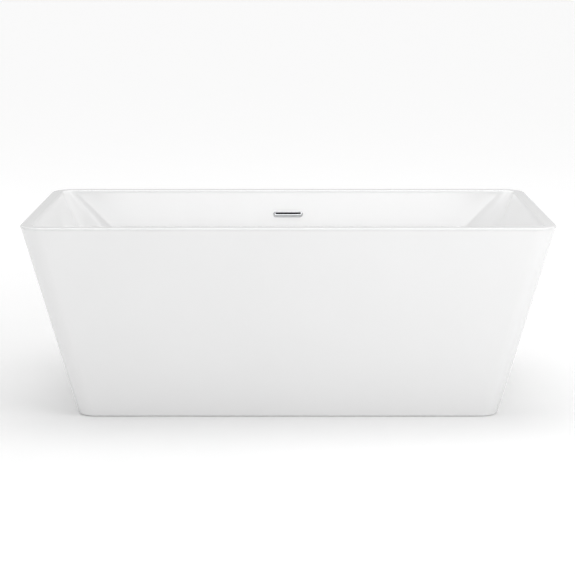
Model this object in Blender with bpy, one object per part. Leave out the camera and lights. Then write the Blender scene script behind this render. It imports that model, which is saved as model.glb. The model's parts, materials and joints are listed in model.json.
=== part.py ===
"""Freestanding double-wall acrylic bathtub, built as the separate pieces it is assembled from.

The frame is +Z up with the origin on the floor under the middle of the tub.  X runs along the
tub, -Y is the front long side and +Y is the back long side, which carries the overflow.
"""
import math

import bmesh
import bpy
from mathutils import Matrix, Vector

# ---- driving dimensions, metres and degrees --------------------------------------------------
GAP = 0.0003                    # clearance kept between pieces that touch
TOOL_OVERRUN = 0.005            # how far a cutter passes the face that it opens
SMALL_BEVEL = 0.001
TINY_BEVEL = 0.0005

TUB_LENGTH = 1.650
TUB_WIDTH = 0.800
TUB_HEIGHT = 0.610
BASE_LENGTH = 1.330
BASE_WIDTH = 0.701
RIM_WIDTH = 0.037
RIM_THICKNESS = 0.006
RIM_CORNER_RADIUS = 0.075
RIM_OUTER_ROUNDING = 0.005
RIM_INNER_ROUNDING = 0.008
BASE_CORNER_RADIUS = 0.058
SKIRT_THICKNESS = 0.006
SKIRT_FLOOR_CLEARANCE = 0.002

BASIN_THICKNESS = 0.005
BACKING_THICKNESS = 0.004
END_SLOPE = 27.0                # lean of the inner end walls from vertical
SIDE_SLOPE = 10.0               # lean of the inner long walls from vertical
BASIN_CORNER_GROWTH = 0.55      # added corner radius per metre of depth
BASIN_CORNER_SHARE = 0.80       # the corner radius stays within this share of the half width
BACKING_TOP_DEPTH = 0.018       # the laminate behind the walls starts this far below the rim
FLOOR_EDGE_HEIGHT = 0.155       # top of the basin floor where the walls' curve ends
FLOOR_DRAIN_HEIGHT = 0.145      # top of the basin floor at the drain recess
FILLET_DROP = 0.090             # height taken by the curve from wall to floor
BACKING_BOTTOM = 0.1317         # flat underside of the resin bed below the floor

DRAIN_HOLE_RADIUS = 0.026
RECESS_RADIUS = 0.044
RECESS_DEPTH = 0.004
SEAL_THICKNESS = 0.0015         # of every flat rubber seal
FLANGE_RADIUS = 0.036
FLANGE_THICKNESS = 0.003
TAIL_RADIUS = 0.0245
TAIL_BORE = 0.0205
TAIL_BOTTOM = 0.078
CROSS_BOTTOM = 0.104
CROSS_HEIGHT = 0.006
CROSS_HUB_RADIUS = 0.0075
CROSS_ARM_WIDTH = 0.003
FLANGE_EDGE = 0.002             # width of the flange's bevelled rim
STUD_RADIUS = 0.0038
WASHER_THICKNESS = 0.003
WASHER_RADIUS = 0.036
LOCKNUT_HEIGHT = 0.008
LOCKNUT_RADIUS = 0.034

CAP_RADIUS = 0.031
CAP_THICKNESS = 0.0032
CAP_CROWN = 0.0020
CAP_SEAL_RADIUS = 0.0270
CAP_SEAL_BORE = 0.0225
CARTRIDGE_RADIUS = 0.0065
CARTRIDGE_BORE = 0.0046
CARTRIDGE_TOP = 0.131
CARTRIDGE_FLOOR = 0.002
STUD_LENGTH = 0.004             # how far the cartridge's stud passes below the cross
PLUNGER_RADIUS = 0.0036
PLUNGER_FOOT = 0.122
SPRING_RADIUS = 0.0033
SPRING_WIRE = 0.0005
SPRING_TURNS = 5

BOARD_LENGTH = 1.000
BOARD_WIDTH = 0.424
BOARD_THICKNESS = 0.016
BOARD_HOLE_RADIUS = 0.045
RAIL_SIZE = 0.025
RAIL_WALL = 0.002
RAIL_LENGTH = 1.040
RAIL_SPACING = 0.410            # between the centre lines of the two long rails
CROSS_RAIL_PLACES = (-0.500, -0.170, 0.170, 0.500)
BRACKET_WIDTH = 0.030
BRACKET_THICKNESS = 0.003
BRACKET_UPSTAND = 0.040
SIDE_BRACKET_PLACE = 0.300

FOOT_PLACE_X = 0.450
SLEEVE_RADIUS = 0.0105
ROD_RADIUS = 0.006
ROD_TOP = 0.136
ROD_CLEARANCE = 0.0003
PAD_RADIUS = 0.025
PAD_THICKNESS = 0.009
PAD_BOSS_RADIUS = 0.012
PAD_BOSS_TOP = 0.021
PAD_SOCKET_FLOOR = 0.005
PAD_EDGE = 0.002                # bevel of the pad's rim and of its boss
HEX_RADIUS = 0.0110
ROD_HEX_HEIGHT = 0.008
LOCK_NUT_HEIGHT = 0.008

PIPE_RADIUS = 0.011
PIPE_BORE = 0.0093
SOCKET_RADIUS = 0.0138
PIPE_TO_SKIRT = 0.0165          # from the skirt's inner face to the overflow pipe's axis
BRANCH_HEIGHT = 0.062
BEND_RADIUS = 0.020
SOCKET_DEPTH = 0.018
TEE_RADIUS = 0.029
TEE_TOP = 0.117
TEE_BOTTOM = 0.040
TEE_BRANCH_REACH = 0.062
TAIL_PIPE_RADIUS = 0.020
TAIL_PIPE_BORE = 0.0178
TAIL_PIPE_BOTTOM = 0.010
SLIP_NUT_HEIGHT = 0.016
SLIP_NUT_WALL = 0.003
SIDE_NUT_WALL = 0.004
PIPE_PLAY = 0.002               # left free between a pipe's end and the bottom of its socket

OVERFLOW_DEPTH = 0.083          # below the rim, to the middle of the trim
TRIM_WIDTH = 0.104
TRIM_HEIGHT = 0.021
TRIM_STAND = 0.005
TRIM_EDGE = 0.0015
SLOT_WIDTH = 0.090
SLOT_HEIGHT = 0.006
SLOT_RISE = 0.003               # the slot sits this far above the trim's middle
THROAT_WALL = 0.002
THROAT_REACH = 0.024
WALL_HOLE_MARGIN = 0.001
OVERFLOW_GASKET_MARGIN = 0.006
HEAD_WIDTH = 0.116
HEAD_HEIGHT = 0.034
HEAD_DEPTH = 0.018
HEAD_WALL = 0.003

# ---- how finely the curved shapes are divided ------------------------------------------------
CORNER_STEPS = 5
LONG_STEPS = 8
SHORT_STEPS = 4
EDGE_STEPS = 3
WALL_STEPS = 2
FILLET_STEPS = 5
ROUND_SEGMENTS = 32
SMALL_ROUND_SEGMENTS = 20
HEX_SEGMENTS = 6

# ---- worked-out places -----------------------------------------------------------------------
SKIRT_TOP = TUB_HEIGHT - RIM_THICKNESS - GAP
SKIRT_LEAN_X = (TUB_LENGTH - BASE_LENGTH) / 2 / TUB_HEIGHT
SKIRT_LEAN_Y = (TUB_WIDTH - BASE_WIDTH) / 2 / TUB_HEIGHT
WALL_DEPTH = TUB_HEIGHT - FLOOR_EDGE_HEIGHT - FILLET_DROP
RECESS_FLOOR = FLOOR_DRAIN_HEIGHT - RECESS_DEPTH
FLANGE_TOP = RECESS_FLOOR + GAP + SEAL_THICKNESS + GAP + FLANGE_THICKNESS
BOARD_TOP = BACKING_BOTTOM - GAP
RAIL_TOP = BOARD_TOP - BOARD_THICKNESS - GAP
RAIL_BOTTOM = RAIL_TOP - RAIL_SIZE
FOOT_PLACE_Y = RAIL_SPACING / 2 + RAIL_SIZE / 2 + GAP + SLEEVE_RADIUS
TRIM_BACKS = BASIN_THICKNESS + GAP + BACKING_THICKNESS

# ---- colours: base colour, roughness, metallic -----------------------------------------------
FINISHES = {
    "white_acrylic": ((0.90, 0.90, 0.90, 1), 0.12, 0.0),
    "glass_fibre": ((0.66, 0.65, 0.56, 1), 0.60, 0.0),
    "board": ((0.52, 0.38, 0.23, 1), 0.75, 0.0),
    "galvanised_steel": ((0.60, 0.61, 0.62, 1), 0.42, 1.0),
    "zinc_steel": ((0.68, 0.68, 0.66, 1), 0.30, 1.0),
    "chrome": ((0.82, 0.83, 0.84, 1), 0.07, 1.0),
    "brass": ((0.78, 0.60, 0.30, 1), 0.28, 1.0),
    "rubber": ((0.03, 0.03, 0.03, 1), 0.80, 0.0),
    "pvc": ((0.78, 0.78, 0.76, 1), 0.45, 0.0),
}


# ---- general helpers -------------------------------------------------------------------------
def clear_scene():
    for thing in list(bpy.data.objects):
        bpy.data.objects.remove(thing, do_unlink=True)


def make_material(name):
    colour, roughness, metallic = FINISHES[name]
    material = bpy.data.materials.new(name)
    material.use_nodes = True
    shader = material.node_tree.nodes["Principled BSDF"]
    shader.inputs["Base Color"].default_value = colour
    shader.inputs["Roughness"].default_value = roughness
    shader.inputs["Metallic"].default_value = metallic
    return material


def add_mesh(name, points, faces, finish, parent=None):
    """Makes one named object from points and faces, with its faces turned outwards."""
    shape = bmesh.new()
    corners = [shape.verts.new(point) for point in points]
    for face in faces:
        shape.faces.new([corners[index] for index in face])
    bmesh.ops.recalc_face_normals(shape, faces=shape.faces)
    mesh = bpy.data.meshes.new(name)
    shape.to_mesh(mesh)
    shape.free()
    mesh.shade_smooth()
    mesh.set_sharp_from_angle(angle=math.radians(35))
    thing = bpy.data.objects.new(name, mesh)
    thing.data.materials.append(bpy.data.materials.get(finish) or make_material(finish))
    thing.parent = parent
    bpy.context.scene.collection.objects.link(thing)
    return thing


def loft(name, rings, finish, looped=False, parent=None):
    """Joins rings of equal length; a looped loft joins the last to the first, others are capped."""
    size = len(rings[0])
    points = [point for ring in rings for point in ring]
    faces = []
    spans = len(rings) if looped else len(rings) - 1
    for index in range(spans):
        low = index * size
        high = (index + 1) % len(rings) * size
        for step in range(size):
            after = (step + 1) % size
            faces.append((low + step, low + after, high + after, high + step))
    if not looped:
        faces.append(tuple(range(size)))
        faces.append(tuple((len(rings) - 1) * size + step for step in range(size)))
    return add_mesh(name, points, faces, finish, parent)


def circle(radius, height, segments=ROUND_SEGMENTS, turn=0.0):
    angles = [2 * math.pi * step / segments + turn for step in range(segments)]
    return [Vector((radius * math.cos(a), radius * math.sin(a), height)) for a in angles]


def turned(name, outline, finish, segments=ROUND_SEGMENTS, parent=None):
    """Turns a closed outline of (radius, height) points about Z, which leaves a bore."""
    rings = [circle(radius, height, segments) for radius, height in outline]
    return loft(name, rings, finish, True, parent)


def turned_solid(name, outline, finish, segments=ROUND_SEGMENTS, parent=None):
    """Turns an open outline of (radius, height) points about Z and caps both of its ends."""
    rings = [circle(radius, height, segments) for radius, height in outline]
    return loft(name, rings, finish, False, parent)


def ring_outline(bore, radius, bottom, top):
    return [(radius, bottom), (radius, top), (bore, top), (bore, bottom)]


def box(name, low, high, finish, parent=None):
    rings = []
    for z in (low[2], high[2]):
        rings.append([Vector((low[0], low[1], z)), Vector((high[0], low[1], z)),
                      Vector((high[0], high[1], z)), Vector((low[0], high[1], z))])
    return loft(name, rings, finish, False, parent)


def cut(target, tool, operation="DIFFERENCE"):
    """Adds a Boolean to target; the tool stays in the file as a hidden guide."""
    tool.hide_render = True
    tool.display_type = "WIRE"
    change = target.modifiers.new(tool.name, "BOOLEAN")
    change.operation = operation
    change.solver = "EXACT"
    change.object = tool


def empty(name, place, tilt=0.0):
    guide = bpy.data.objects.new(name, None)
    guide.location = place
    guide.rotation_euler = (tilt, 0, 0)
    bpy.context.scene.collection.objects.link(guide)
    return guide


# ---- the rectangular rings of the tub's shells -----------------------------------------------
def tub_ring(half_x, half_y, radius, z_end, z_side=None):
    """A rounded rectangle; its height may differ between the end walls and the long walls."""
    z_side = z_end if z_side is None else z_side
    headings = (Vector((-1, 0, 0)), Vector((0, -1, 0)), Vector((1, 0, 0)), Vector((0, 1, 0)))
    ring = []
    for quarter, (side_x, side_y) in enumerate(((1, 1), (-1, 1), (-1, -1), (1, -1))):
        for step in range(CORNER_STEPS + 1):
            angle = math.pi / 2 * (quarter + step / CORNER_STEPS)
            x = side_x * (half_x - radius) + radius * math.cos(angle)
            y = side_y * (half_y - radius) + radius * math.sin(angle)
            ring.append(Vector((x, y, z_end + (z_side - z_end) * math.sin(angle) ** 2)))
        run = LONG_STEPS if quarter % 2 == 0 else SHORT_STEPS
        start = ring[-1].copy()
        reach = 2 * ((half_x if quarter % 2 == 0 else half_y) - radius)
        for step in range(1, run):
            ring.append(start + headings[quarter] * reach * step / run)
    return ring


def drain_ring(radius, height):
    """A circle round the drain whose points line up with those of the tub's rings."""
    count = 4 * CORNER_STEPS + 2 * LONG_STEPS + 2 * SHORT_STEPS
    turn = 2 * math.pi * (SHORT_STEPS / 2) / count
    return circle(radius, height, count, turn)


def blend_rings(first, second, share, height):
    """Points part of the way from one ring to another, all at one height."""
    ring = []
    for start, end in zip(first, second):
        point = start.lerp(end, share)
        ring.append(Vector((point.x, point.y, height)))
    return ring


def skirt_ring(height, inset=0.0):
    """The skirt's outer face at a height, moved inwards by inset."""
    share = height / TUB_HEIGHT
    half_x = BASE_LENGTH / 2 + SKIRT_LEAN_X * height - inset
    half_y = BASE_WIDTH / 2 + SKIRT_LEAN_Y * height - inset
    radius = BASE_CORNER_RADIUS + (RIM_CORNER_RADIUS - BASE_CORNER_RADIUS) * share
    return tub_ring(half_x, half_y, radius - inset, height)


def basin_profile(half, slope):
    """The basin's inner surface in section, rim to floor: (reach, height, normal into the wall)."""
    lean = math.radians(slope)
    stations = []
    turn = math.pi / 2 - lean
    edge_centre = half + RIM_INNER_ROUNDING * math.tan(turn / 2)
    for step in range(EDGE_STEPS + 1):
        angle = turn * step / EDGE_STEPS
        reach = edge_centre - RIM_INNER_ROUNDING * math.sin(angle)
        height = TUB_HEIGHT - RIM_INNER_ROUNDING * (1 - math.cos(angle))
        stations.append((reach, height, math.sin(angle), -math.cos(angle)))
    for step in range(WALL_STEPS):
        depth = BACKING_TOP_DEPTH + (WALL_DEPTH - BACKING_TOP_DEPTH) * step / WALL_STEPS
        reach = half - depth * math.tan(lean)
        stations.append((reach, TUB_HEIGHT - depth, math.cos(lean), -math.sin(lean)))
    radius = FILLET_DROP / (1 - math.sin(lean))
    wall_foot = half - WALL_DEPTH * math.tan(lean)
    for step in range(FILLET_STEPS + 1):
        angle = lean + (math.pi / 2 - lean) * step / FILLET_STEPS
        reach = wall_foot - radius * (math.cos(lean) - math.cos(angle))
        drop = radius * (math.sin(angle) - math.sin(lean))
        height = TUB_HEIGHT - WALL_DEPTH - drop
        stations.append((reach, height, math.cos(angle), -math.sin(angle)))
    return stations


def basin_rings(offset):
    """Rings of the basin's surface from rim to floor, set back into the wall by offset."""
    ends = basin_profile(TUB_LENGTH / 2 - RIM_WIDTH, END_SLOPE)
    sides = basin_profile(TUB_WIDTH / 2 - RIM_WIDTH, SIDE_SLOPE)
    rings = []
    for end, side in zip(ends, sides):
        depth = TUB_HEIGHT - (end[1] + side[1]) / 2
        radius = RIM_CORNER_RADIUS - RIM_WIDTH + BASIN_CORNER_GROWTH * depth
        radius = min(radius, BASIN_CORNER_SHARE * side[0])
        radius += offset * (end[2] + side[2]) / 2
        rings.append(tub_ring(end[0] + offset * end[2], side[0] + offset * side[2], radius,
                              end[1] + offset * end[3], side[1] + offset * side[3]))
    return rings


def floor_rings(edge, offset, shares=(0.45, 0.8)):
    """Rings of the falling floor, from its edge towards the drain recess."""
    target = drain_ring(RECESS_RADIUS, FLOOR_DRAIN_HEIGHT - offset)
    rings = []
    for share in shares:
        height = FLOOR_EDGE_HEIGHT + (FLOOR_DRAIN_HEIGHT - FLOOR_EDGE_HEIGHT) * share - offset
        rings.append(blend_rings(edge, target, share, height))
    return rings


# ---- shells ----------------------------------------------------------------------------------
def make_basin_shell():
    """Inner acrylic shell: flat rim, sloping walls, curved floor and recessed drain seat."""
    half_x = TUB_LENGTH / 2
    half_y = TUB_WIDTH / 2
    rings = [tub_ring(half_x, half_y, RIM_CORNER_RADIUS, TUB_HEIGHT - RIM_THICKNESS)]
    for step in range(EDGE_STEPS + 1):
        angle = math.pi / 2 * step / EDGE_STEPS
        inset = RIM_OUTER_ROUNDING * (1 - math.cos(angle))
        height = TUB_HEIGHT - RIM_OUTER_ROUNDING * (1 - math.sin(angle))
        rings.append(tub_ring(half_x - inset, half_y - inset, RIM_CORNER_RADIUS - inset, height))
    front = basin_rings(0.0)
    rings += front + floor_rings(front[-1], 0.0)
    rings.append(drain_ring(RECESS_RADIUS, FLOOR_DRAIN_HEIGHT))
    rings.append(drain_ring(RECESS_RADIUS - RECESS_DEPTH / 2, RECESS_FLOOR))
    rings.append(drain_ring(DRAIN_HOLE_RADIUS, RECESS_FLOOR))
    rings.append(drain_ring(DRAIN_HOLE_RADIUS, RECESS_FLOOR - BASIN_THICKNESS))
    back_edge = RECESS_RADIUS + BASIN_THICKNESS
    rings.append(drain_ring(back_edge - RECESS_DEPTH / 2, RECESS_FLOOR - BASIN_THICKNESS))
    rings.append(drain_ring(back_edge, FLOOR_DRAIN_HEIGHT - BASIN_THICKNESS))
    back = basin_rings(BASIN_THICKNESS)
    rings += list(reversed(floor_rings(back[-1], BASIN_THICKNESS)))
    rings += list(reversed(back[EDGE_STEPS:]))
    return loft("basin_shell", rings, "white_acrylic", looped=True)


def make_basin_backing():
    """Glass-fibre laminate behind the basin, with a flat resin bed below the floor."""
    inner = BASIN_THICKNESS + GAP
    outer = inner + BACKING_THICKNESS
    top = EDGE_STEPS + 1
    face = basin_rings(inner)[top:]
    back = basin_rings(outer)[top:]
    rings = face + floor_rings(face[-1], inner)
    step_radius = RECESS_RADIUS + inner + GAP
    rings.append(drain_ring(step_radius, FLOOR_DRAIN_HEIGHT - inner))
    rings.append(drain_ring(step_radius, RECESS_FLOOR - inner))
    rings.append(drain_ring(DRAIN_HOLE_RADIUS, RECESS_FLOOR - inner))
    rings.append(drain_ring(DRAIN_HOLE_RADIUS, BACKING_BOTTOM))
    bed = drain_ring(step_radius, BACKING_BOTTOM)
    rings.append(bed)
    rings.append(blend_rings(back[-1], bed, 0.0, BACKING_BOTTOM))
    rings += list(reversed(back))
    return loft("basin_backing", rings, "glass_fibre", looped=True)


def make_outer_skirt():
    """Outer acrylic wall that stands under the rim and hides the frame."""
    rings = [skirt_ring(SKIRT_FLOOR_CLEARANCE), skirt_ring(SKIRT_TOP),
             skirt_ring(SKIRT_TOP, SKIRT_THICKNESS),
             skirt_ring(SKIRT_FLOOR_CLEARANCE, SKIRT_THICKNESS)]
    return loft("outer_skirt", rings, "white_acrylic", looped=True)


def make_base_board():
    """Wooden board bedded under the basin floor, with a hole round the waste."""
    half_x = BOARD_LENGTH / 2
    half_y = BOARD_WIDTH / 2
    board = box("base_board", (-half_x, -half_y, BOARD_TOP - BOARD_THICKNESS),
                (half_x, half_y, BOARD_TOP), "board")
    tool = turned_solid("board_hole_tool",
                        [(BOARD_HOLE_RADIUS, BOARD_TOP - 2 * BOARD_THICKNESS),
                         (BOARD_HOLE_RADIUS, BOARD_TOP + BOARD_THICKNESS)], "board")
    cut(board, tool)
    return board


# ---- steel frame -----------------------------------------------------------------------------
def square_tube(name, axis, start, end, centre):
    """A square hollow rail along X or Y, open at both of its ends."""
    def section(size, along):
        half = size / 2
        corners = ((-half, -half), (half, -half), (half, half), (-half, half))
        if axis == "X":
            return [Vector((along, centre[1] + a, centre[2] + b)) for a, b in corners]
        return [Vector((centre[0] - a, along, centre[2] + b)) for a, b in corners]
    bore = RAIL_SIZE - 2 * RAIL_WALL
    rings = [section(RAIL_SIZE, start), section(RAIL_SIZE, end), section(bore, end),
             section(bore, start)]
    return loft(name, rings, "galvanised_steel", looped=True)


def make_frame():
    height = RAIL_TOP - RAIL_SIZE / 2
    for name, side in (("frame_rail_front", -1), ("frame_rail_back", 1)):
        square_tube(name, "X", -RAIL_LENGTH / 2, RAIL_LENGTH / 2,
                    (0, side * RAIL_SPACING / 2, height))
    reach = RAIL_SPACING / 2 - RAIL_SIZE / 2 - GAP
    labels = ("left", "mid_left", "mid_right", "right")
    for label, place in zip(labels, CROSS_RAIL_PLACES):
        square_tube("frame_cross_" + label, "Y", -reach, reach, (place, 0, height))


def folded_bracket(name, start, skirt_at, lean, turn, shift):
    """A folded strip from a rail to the skirt: start and skirt_at are reaches from the middle."""
    bottom = RAIL_TOP - RAIL_SIZE / 2
    thick = BRACKET_THICKNESS
    face = skirt_at + lean * (bottom - RAIL_BOTTOM) - GAP
    top = bottom + BRACKET_UPSTAND
    face_top = face + lean * BRACKET_UPSTAND
    outline = [(start, bottom), (face, bottom), (face_top, top), (face_top - thick, top),
               (face - thick + lean * thick, bottom + thick), (start, bottom + thick)]
    spin = Matrix.Rotation(turn, 3, "Z")
    rings = []
    for side in (-BRACKET_WIDTH / 2, BRACKET_WIDTH / 2):
        rings.append([spin @ Vector((reach, side + shift, z)) for reach, z in outline])
    return loft(name, rings, "galvanised_steel")


def make_brackets():
    """Six strips that hold the skirt's foot to the frame."""
    end_start = CROSS_RAIL_PLACES[-1] + RAIL_SIZE / 2 + GAP
    end_face = BASE_LENGTH / 2 + SKIRT_LEAN_X * RAIL_BOTTOM - SKIRT_THICKNESS
    folded_bracket("skirt_bracket_right", end_start, end_face, SKIRT_LEAN_X, 0.0, 0.0)
    folded_bracket("skirt_bracket_left", end_start, end_face, SKIRT_LEAN_X, math.pi, 0.0)
    side_start = RAIL_SPACING / 2 + RAIL_SIZE / 2 + GAP
    side_face = BASE_WIDTH / 2 + SKIRT_LEAN_Y * RAIL_BOTTOM - SKIRT_THICKNESS
    for label, turn in (("back", math.pi / 2), ("front", -math.pi / 2)):
        for number, shift in ((1, -SIDE_BRACKET_PLACE), (2, SIDE_BRACKET_PLACE)):
            folded_bracket(f"skirt_bracket_{label}_{number}", side_start, side_face,
                           SKIRT_LEAN_Y, turn, shift)


# ---- levelling feet --------------------------------------------------------------------------
def hex_nut(name, bore, radius, bottom, top, finish, parent=None):
    """A hexagonal nut with a round bore, as a loft of matched rings."""
    count = SMALL_ROUND_SEGMENTS // HEX_SEGMENTS * HEX_SEGMENTS
    def hexagon(height):
        ring = []
        for step in range(count):
            angle = 2 * math.pi * step / count
            off = (angle % (math.pi / 3)) - math.pi / 6
            reach = radius * math.cos(math.pi / 6) / math.cos(off)
            ring.append(Vector((reach * math.cos(angle), reach * math.sin(angle), height)))
        return ring
    clear_bore = bore / math.cos(math.pi / count)
    rings = [hexagon(bottom), hexagon(top), circle(clear_bore, top, count),
             circle(clear_bore, bottom, count)]
    return loft(name, rings, finish, True, parent)


def foot_pad_outline(bore):
    """Radius and height pairs of the rubber pad, from its underside to the floor of its socket."""
    return [(PAD_RADIUS - PAD_EDGE, 0.0), (PAD_RADIUS, PAD_EDGE),
            (PAD_RADIUS, PAD_THICKNESS - PAD_EDGE), (PAD_RADIUS - PAD_EDGE, PAD_THICKNESS),
            (PAD_BOSS_RADIUS + PAD_EDGE, PAD_THICKNESS), (PAD_BOSS_RADIUS, PAD_BOSS_TOP),
            (bore, PAD_BOSS_TOP), (bore, PAD_SOCKET_FLOOR)]


def foot_rod_outline():
    """Radius and height pairs of the levelling rod, from its foot to its top."""
    foot = PAD_SOCKET_FLOOR + GAP
    collar = PAD_BOSS_TOP + GAP
    collar_top = collar + ROD_HEX_HEIGHT
    tip = ROD_RADIUS - SMALL_BEVEL
    return [(tip, foot), (ROD_RADIUS, foot + SMALL_BEVEL), (ROD_RADIUS, collar),
            (HEX_RADIUS, collar), (HEX_RADIUS, collar_top), (ROD_RADIUS, collar_top),
            (ROD_RADIUS, ROD_TOP - SMALL_BEVEL), (tip, ROD_TOP)]


def make_foot(label, x, y):
    """One adjustable foot: swivelling pad, threaded rod, lock nut, and the sleeve it turns in."""
    bore = ROD_RADIUS + ROD_CLEARANCE
    guide = empty("foot_axis_" + label, (x, y, 0))
    turned_solid("foot_pad_" + label, foot_pad_outline(bore), "rubber", SMALL_ROUND_SEGMENTS, guide)
    turned_solid("foot_rod_" + label, foot_rod_outline(), "zinc_steel", SMALL_ROUND_SEGMENTS, guide)
    nut_top = RAIL_BOTTOM - GAP
    hex_nut("foot_nut_" + label, bore, HEX_RADIUS, nut_top - LOCK_NUT_HEIGHT, nut_top,
            "zinc_steel", guide)
    turned("foot_sleeve_" + label, ring_outline(bore, SLEEVE_RADIUS, RAIL_BOTTOM, RAIL_TOP),
           "galvanised_steel", SMALL_ROUND_SEGMENTS, guide)


def make_feet():
    for end, side_x in (("left", -1), ("right", 1)):
        for side, side_y in (("front", -1), ("back", 1)):
            make_foot(f"{side}_{end}", side_x * FOOT_PLACE_X, side_y * FOOT_PLACE_Y)


# ---- waste fitting in the floor --------------------------------------------------------------
def make_drain_flange():
    """Flanged waste body with a four-armed cross that carries the click cartridge."""
    bottom = FLANGE_TOP - FLANGE_THICKNESS
    edge_foot = FLANGE_TOP - SMALL_BEVEL
    outline = [(FLANGE_RADIUS, bottom), (FLANGE_RADIUS, edge_foot),
               (FLANGE_RADIUS - FLANGE_EDGE, FLANGE_TOP), (TAIL_BORE + SMALL_BEVEL, FLANGE_TOP),
               (TAIL_BORE, edge_foot), (TAIL_BORE, TAIL_BOTTOM),
               (TAIL_RADIUS, TAIL_BOTTOM), (TAIL_RADIUS, bottom)]
    flange = turned("drain_flange", outline, "chrome")
    reach = (TAIL_BORE + TAIL_RADIUS) / 2
    top = CROSS_BOTTOM + CROSS_HEIGHT
    half = CROSS_ARM_WIDTH / 2
    low = CROSS_BOTTOM + SMALL_BEVEL
    high = top - SMALL_BEVEL
    hub = turned_solid("cross_hub_tool", [(CROSS_HUB_RADIUS, CROSS_BOTTOM), (CROSS_HUB_RADIUS, top)],
                       "chrome", SMALL_ROUND_SEGMENTS)
    arm_x = box("cross_arm_x_tool", (-reach, -half, low), (reach, half, high), "chrome")
    arm_y = box("cross_arm_y_tool", (-half, -reach, low), (half, reach, high), "chrome")
    clear = STUD_RADIUS + GAP
    bore = turned_solid("cross_bore_tool",
                        [(clear, CROSS_BOTTOM - TOOL_OVERRUN), (clear, top + TOOL_OVERRUN)],
                        "chrome", SMALL_ROUND_SEGMENTS)
    cut(flange, arm_x, "UNION")
    cut(flange, arm_y, "UNION")
    cut(flange, hub, "UNION")
    cut(flange, bore)


def make_drain_clamping():
    """Seal above the basin, then washer and lock nut below its backing."""
    seal_bottom = RECESS_FLOOR + GAP
    bore = TAIL_RADIUS + GAP
    turned("drain_seal", ring_outline(bore, FLANGE_RADIUS - SMALL_BEVEL, seal_bottom,
                                      seal_bottom + SEAL_THICKNESS), "rubber")
    washer_top = BACKING_BOTTOM - GAP
    turned("drain_washer", ring_outline(bore, WASHER_RADIUS, washer_top - WASHER_THICKNESS, washer_top),
           "rubber")
    nut_top = washer_top - WASHER_THICKNESS - GAP
    hex_nut("drain_locknut", bore, LOCKNUT_RADIUS, nut_top - LOCKNUT_HEIGHT, nut_top, "brass")


def make_stopper():
    """Press-to-open stopper: cap, seal and plunger lift together out of the cartridge."""
    guide = empty("stopper_axis", (0, 0, 0))
    seal_bottom = FLANGE_TOP + GAP
    cap_bottom = seal_bottom + SEAL_THICKNESS + GAP
    cap_top = cap_bottom + CAP_THICKNESS
    outline = [(CAP_RADIUS - SMALL_BEVEL, cap_bottom), (CAP_RADIUS, cap_bottom + SMALL_BEVEL),
               (CAP_RADIUS, cap_top - SMALL_BEVEL)]
    crown_steps = 4
    for step in range(1, crown_steps):
        share = 1 - step / crown_steps
        outline.append((CAP_RADIUS * share, cap_top + CAP_CROWN * (1 - share ** 2)))
    outline.append((CAP_RADIUS / 12, cap_top + CAP_CROWN))
    turned_solid("stopper_cap", outline, "chrome", parent=guide)
    turned("stopper_seal", ring_outline(CAP_SEAL_BORE, CAP_SEAL_RADIUS, seal_bottom,
                                        seal_bottom + SEAL_THICKNESS), "rubber", parent=guide)
    plunger_outline = [(PLUNGER_RADIUS - TINY_BEVEL, PLUNGER_FOOT),
                       (PLUNGER_RADIUS, PLUNGER_FOOT + TINY_BEVEL),
                       (PLUNGER_RADIUS, cap_bottom - GAP)]
    turned_solid("click_plunger", plunger_outline, "brass", SMALL_ROUND_SEGMENTS, guide)


def make_click_cartridge():
    """Brass body screwed into the waste's cross, with the spring that lifts the plunger."""
    top_of_cross = CROSS_BOTTOM + CROSS_HEIGHT
    body_bottom = top_of_cross + GAP
    floor = body_bottom + CARTRIDGE_FLOOR
    stud_end = CROSS_BOTTOM - STUD_LENGTH
    outline = [(STUD_RADIUS - TINY_BEVEL, stud_end), (STUD_RADIUS, stud_end + TINY_BEVEL),
               (STUD_RADIUS, body_bottom), (CARTRIDGE_RADIUS, body_bottom),
               (CARTRIDGE_RADIUS, CARTRIDGE_TOP), (CARTRIDGE_BORE, CARTRIDGE_TOP),
               (CARTRIDGE_BORE, floor)]
    turned_solid("click_cartridge", outline, "brass", SMALL_ROUND_SEGMENTS)
    low = floor + GAP + SPRING_WIRE
    high = PLUNGER_FOOT - GAP - SPRING_WIRE
    make_spring("click_spring", low, high)


def make_spring(name, low, high):
    """A helical coil: a small circle carried round and up the helix."""
    steps_per_turn = 12
    steps = SPRING_TURNS * steps_per_turn
    wire_sides = 6
    rings = []
    for step in range(steps + 1):
        angle = 2 * math.pi * step / steps_per_turn
        centre = Vector((SPRING_RADIUS * math.cos(angle), SPRING_RADIUS * math.sin(angle),
                         low + (high - low) * step / steps))
        outward = Vector((math.cos(angle), math.sin(angle), 0))
        ring = []
        for side in range(wire_sides):
            turn = 2 * math.pi * side / wire_sides
            ring.append(centre + SPRING_WIRE * (outward * math.cos(turn)
                                                + Vector((0, 0, 1)) * math.sin(turn)))
        rings.append(ring)
    loft(name, rings, "zinc_steel")


# ---- pipework --------------------------------------------------------------------------------
def pipe_axis(height):
    """Place of the overflow pipe's axis along Y at a height, parallel to the back skirt."""
    return BASE_WIDTH / 2 + SKIRT_LEAN_Y * height - SKIRT_THICKNESS - PIPE_TO_SKIRT


def along_axis(rings, start, heading):
    """Turns rings made round +Z to run along heading from start."""
    spin = Vector((0, 0, 1)).rotation_difference(heading)
    return [[start + spin @ point for point in ring] for ring in rings]


def straight_tube(name, start, end, bore, radius, finish, segments=SMALL_ROUND_SEGMENTS):
    heading = (end - start).normalized()
    length = (end - start).length
    outline = ring_outline(bore, radius, 0.0, length)
    rings = along_axis([circle(r, z, segments) for r, z in outline], start, heading)
    return loft(name, rings, finish, looped=True)


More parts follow.
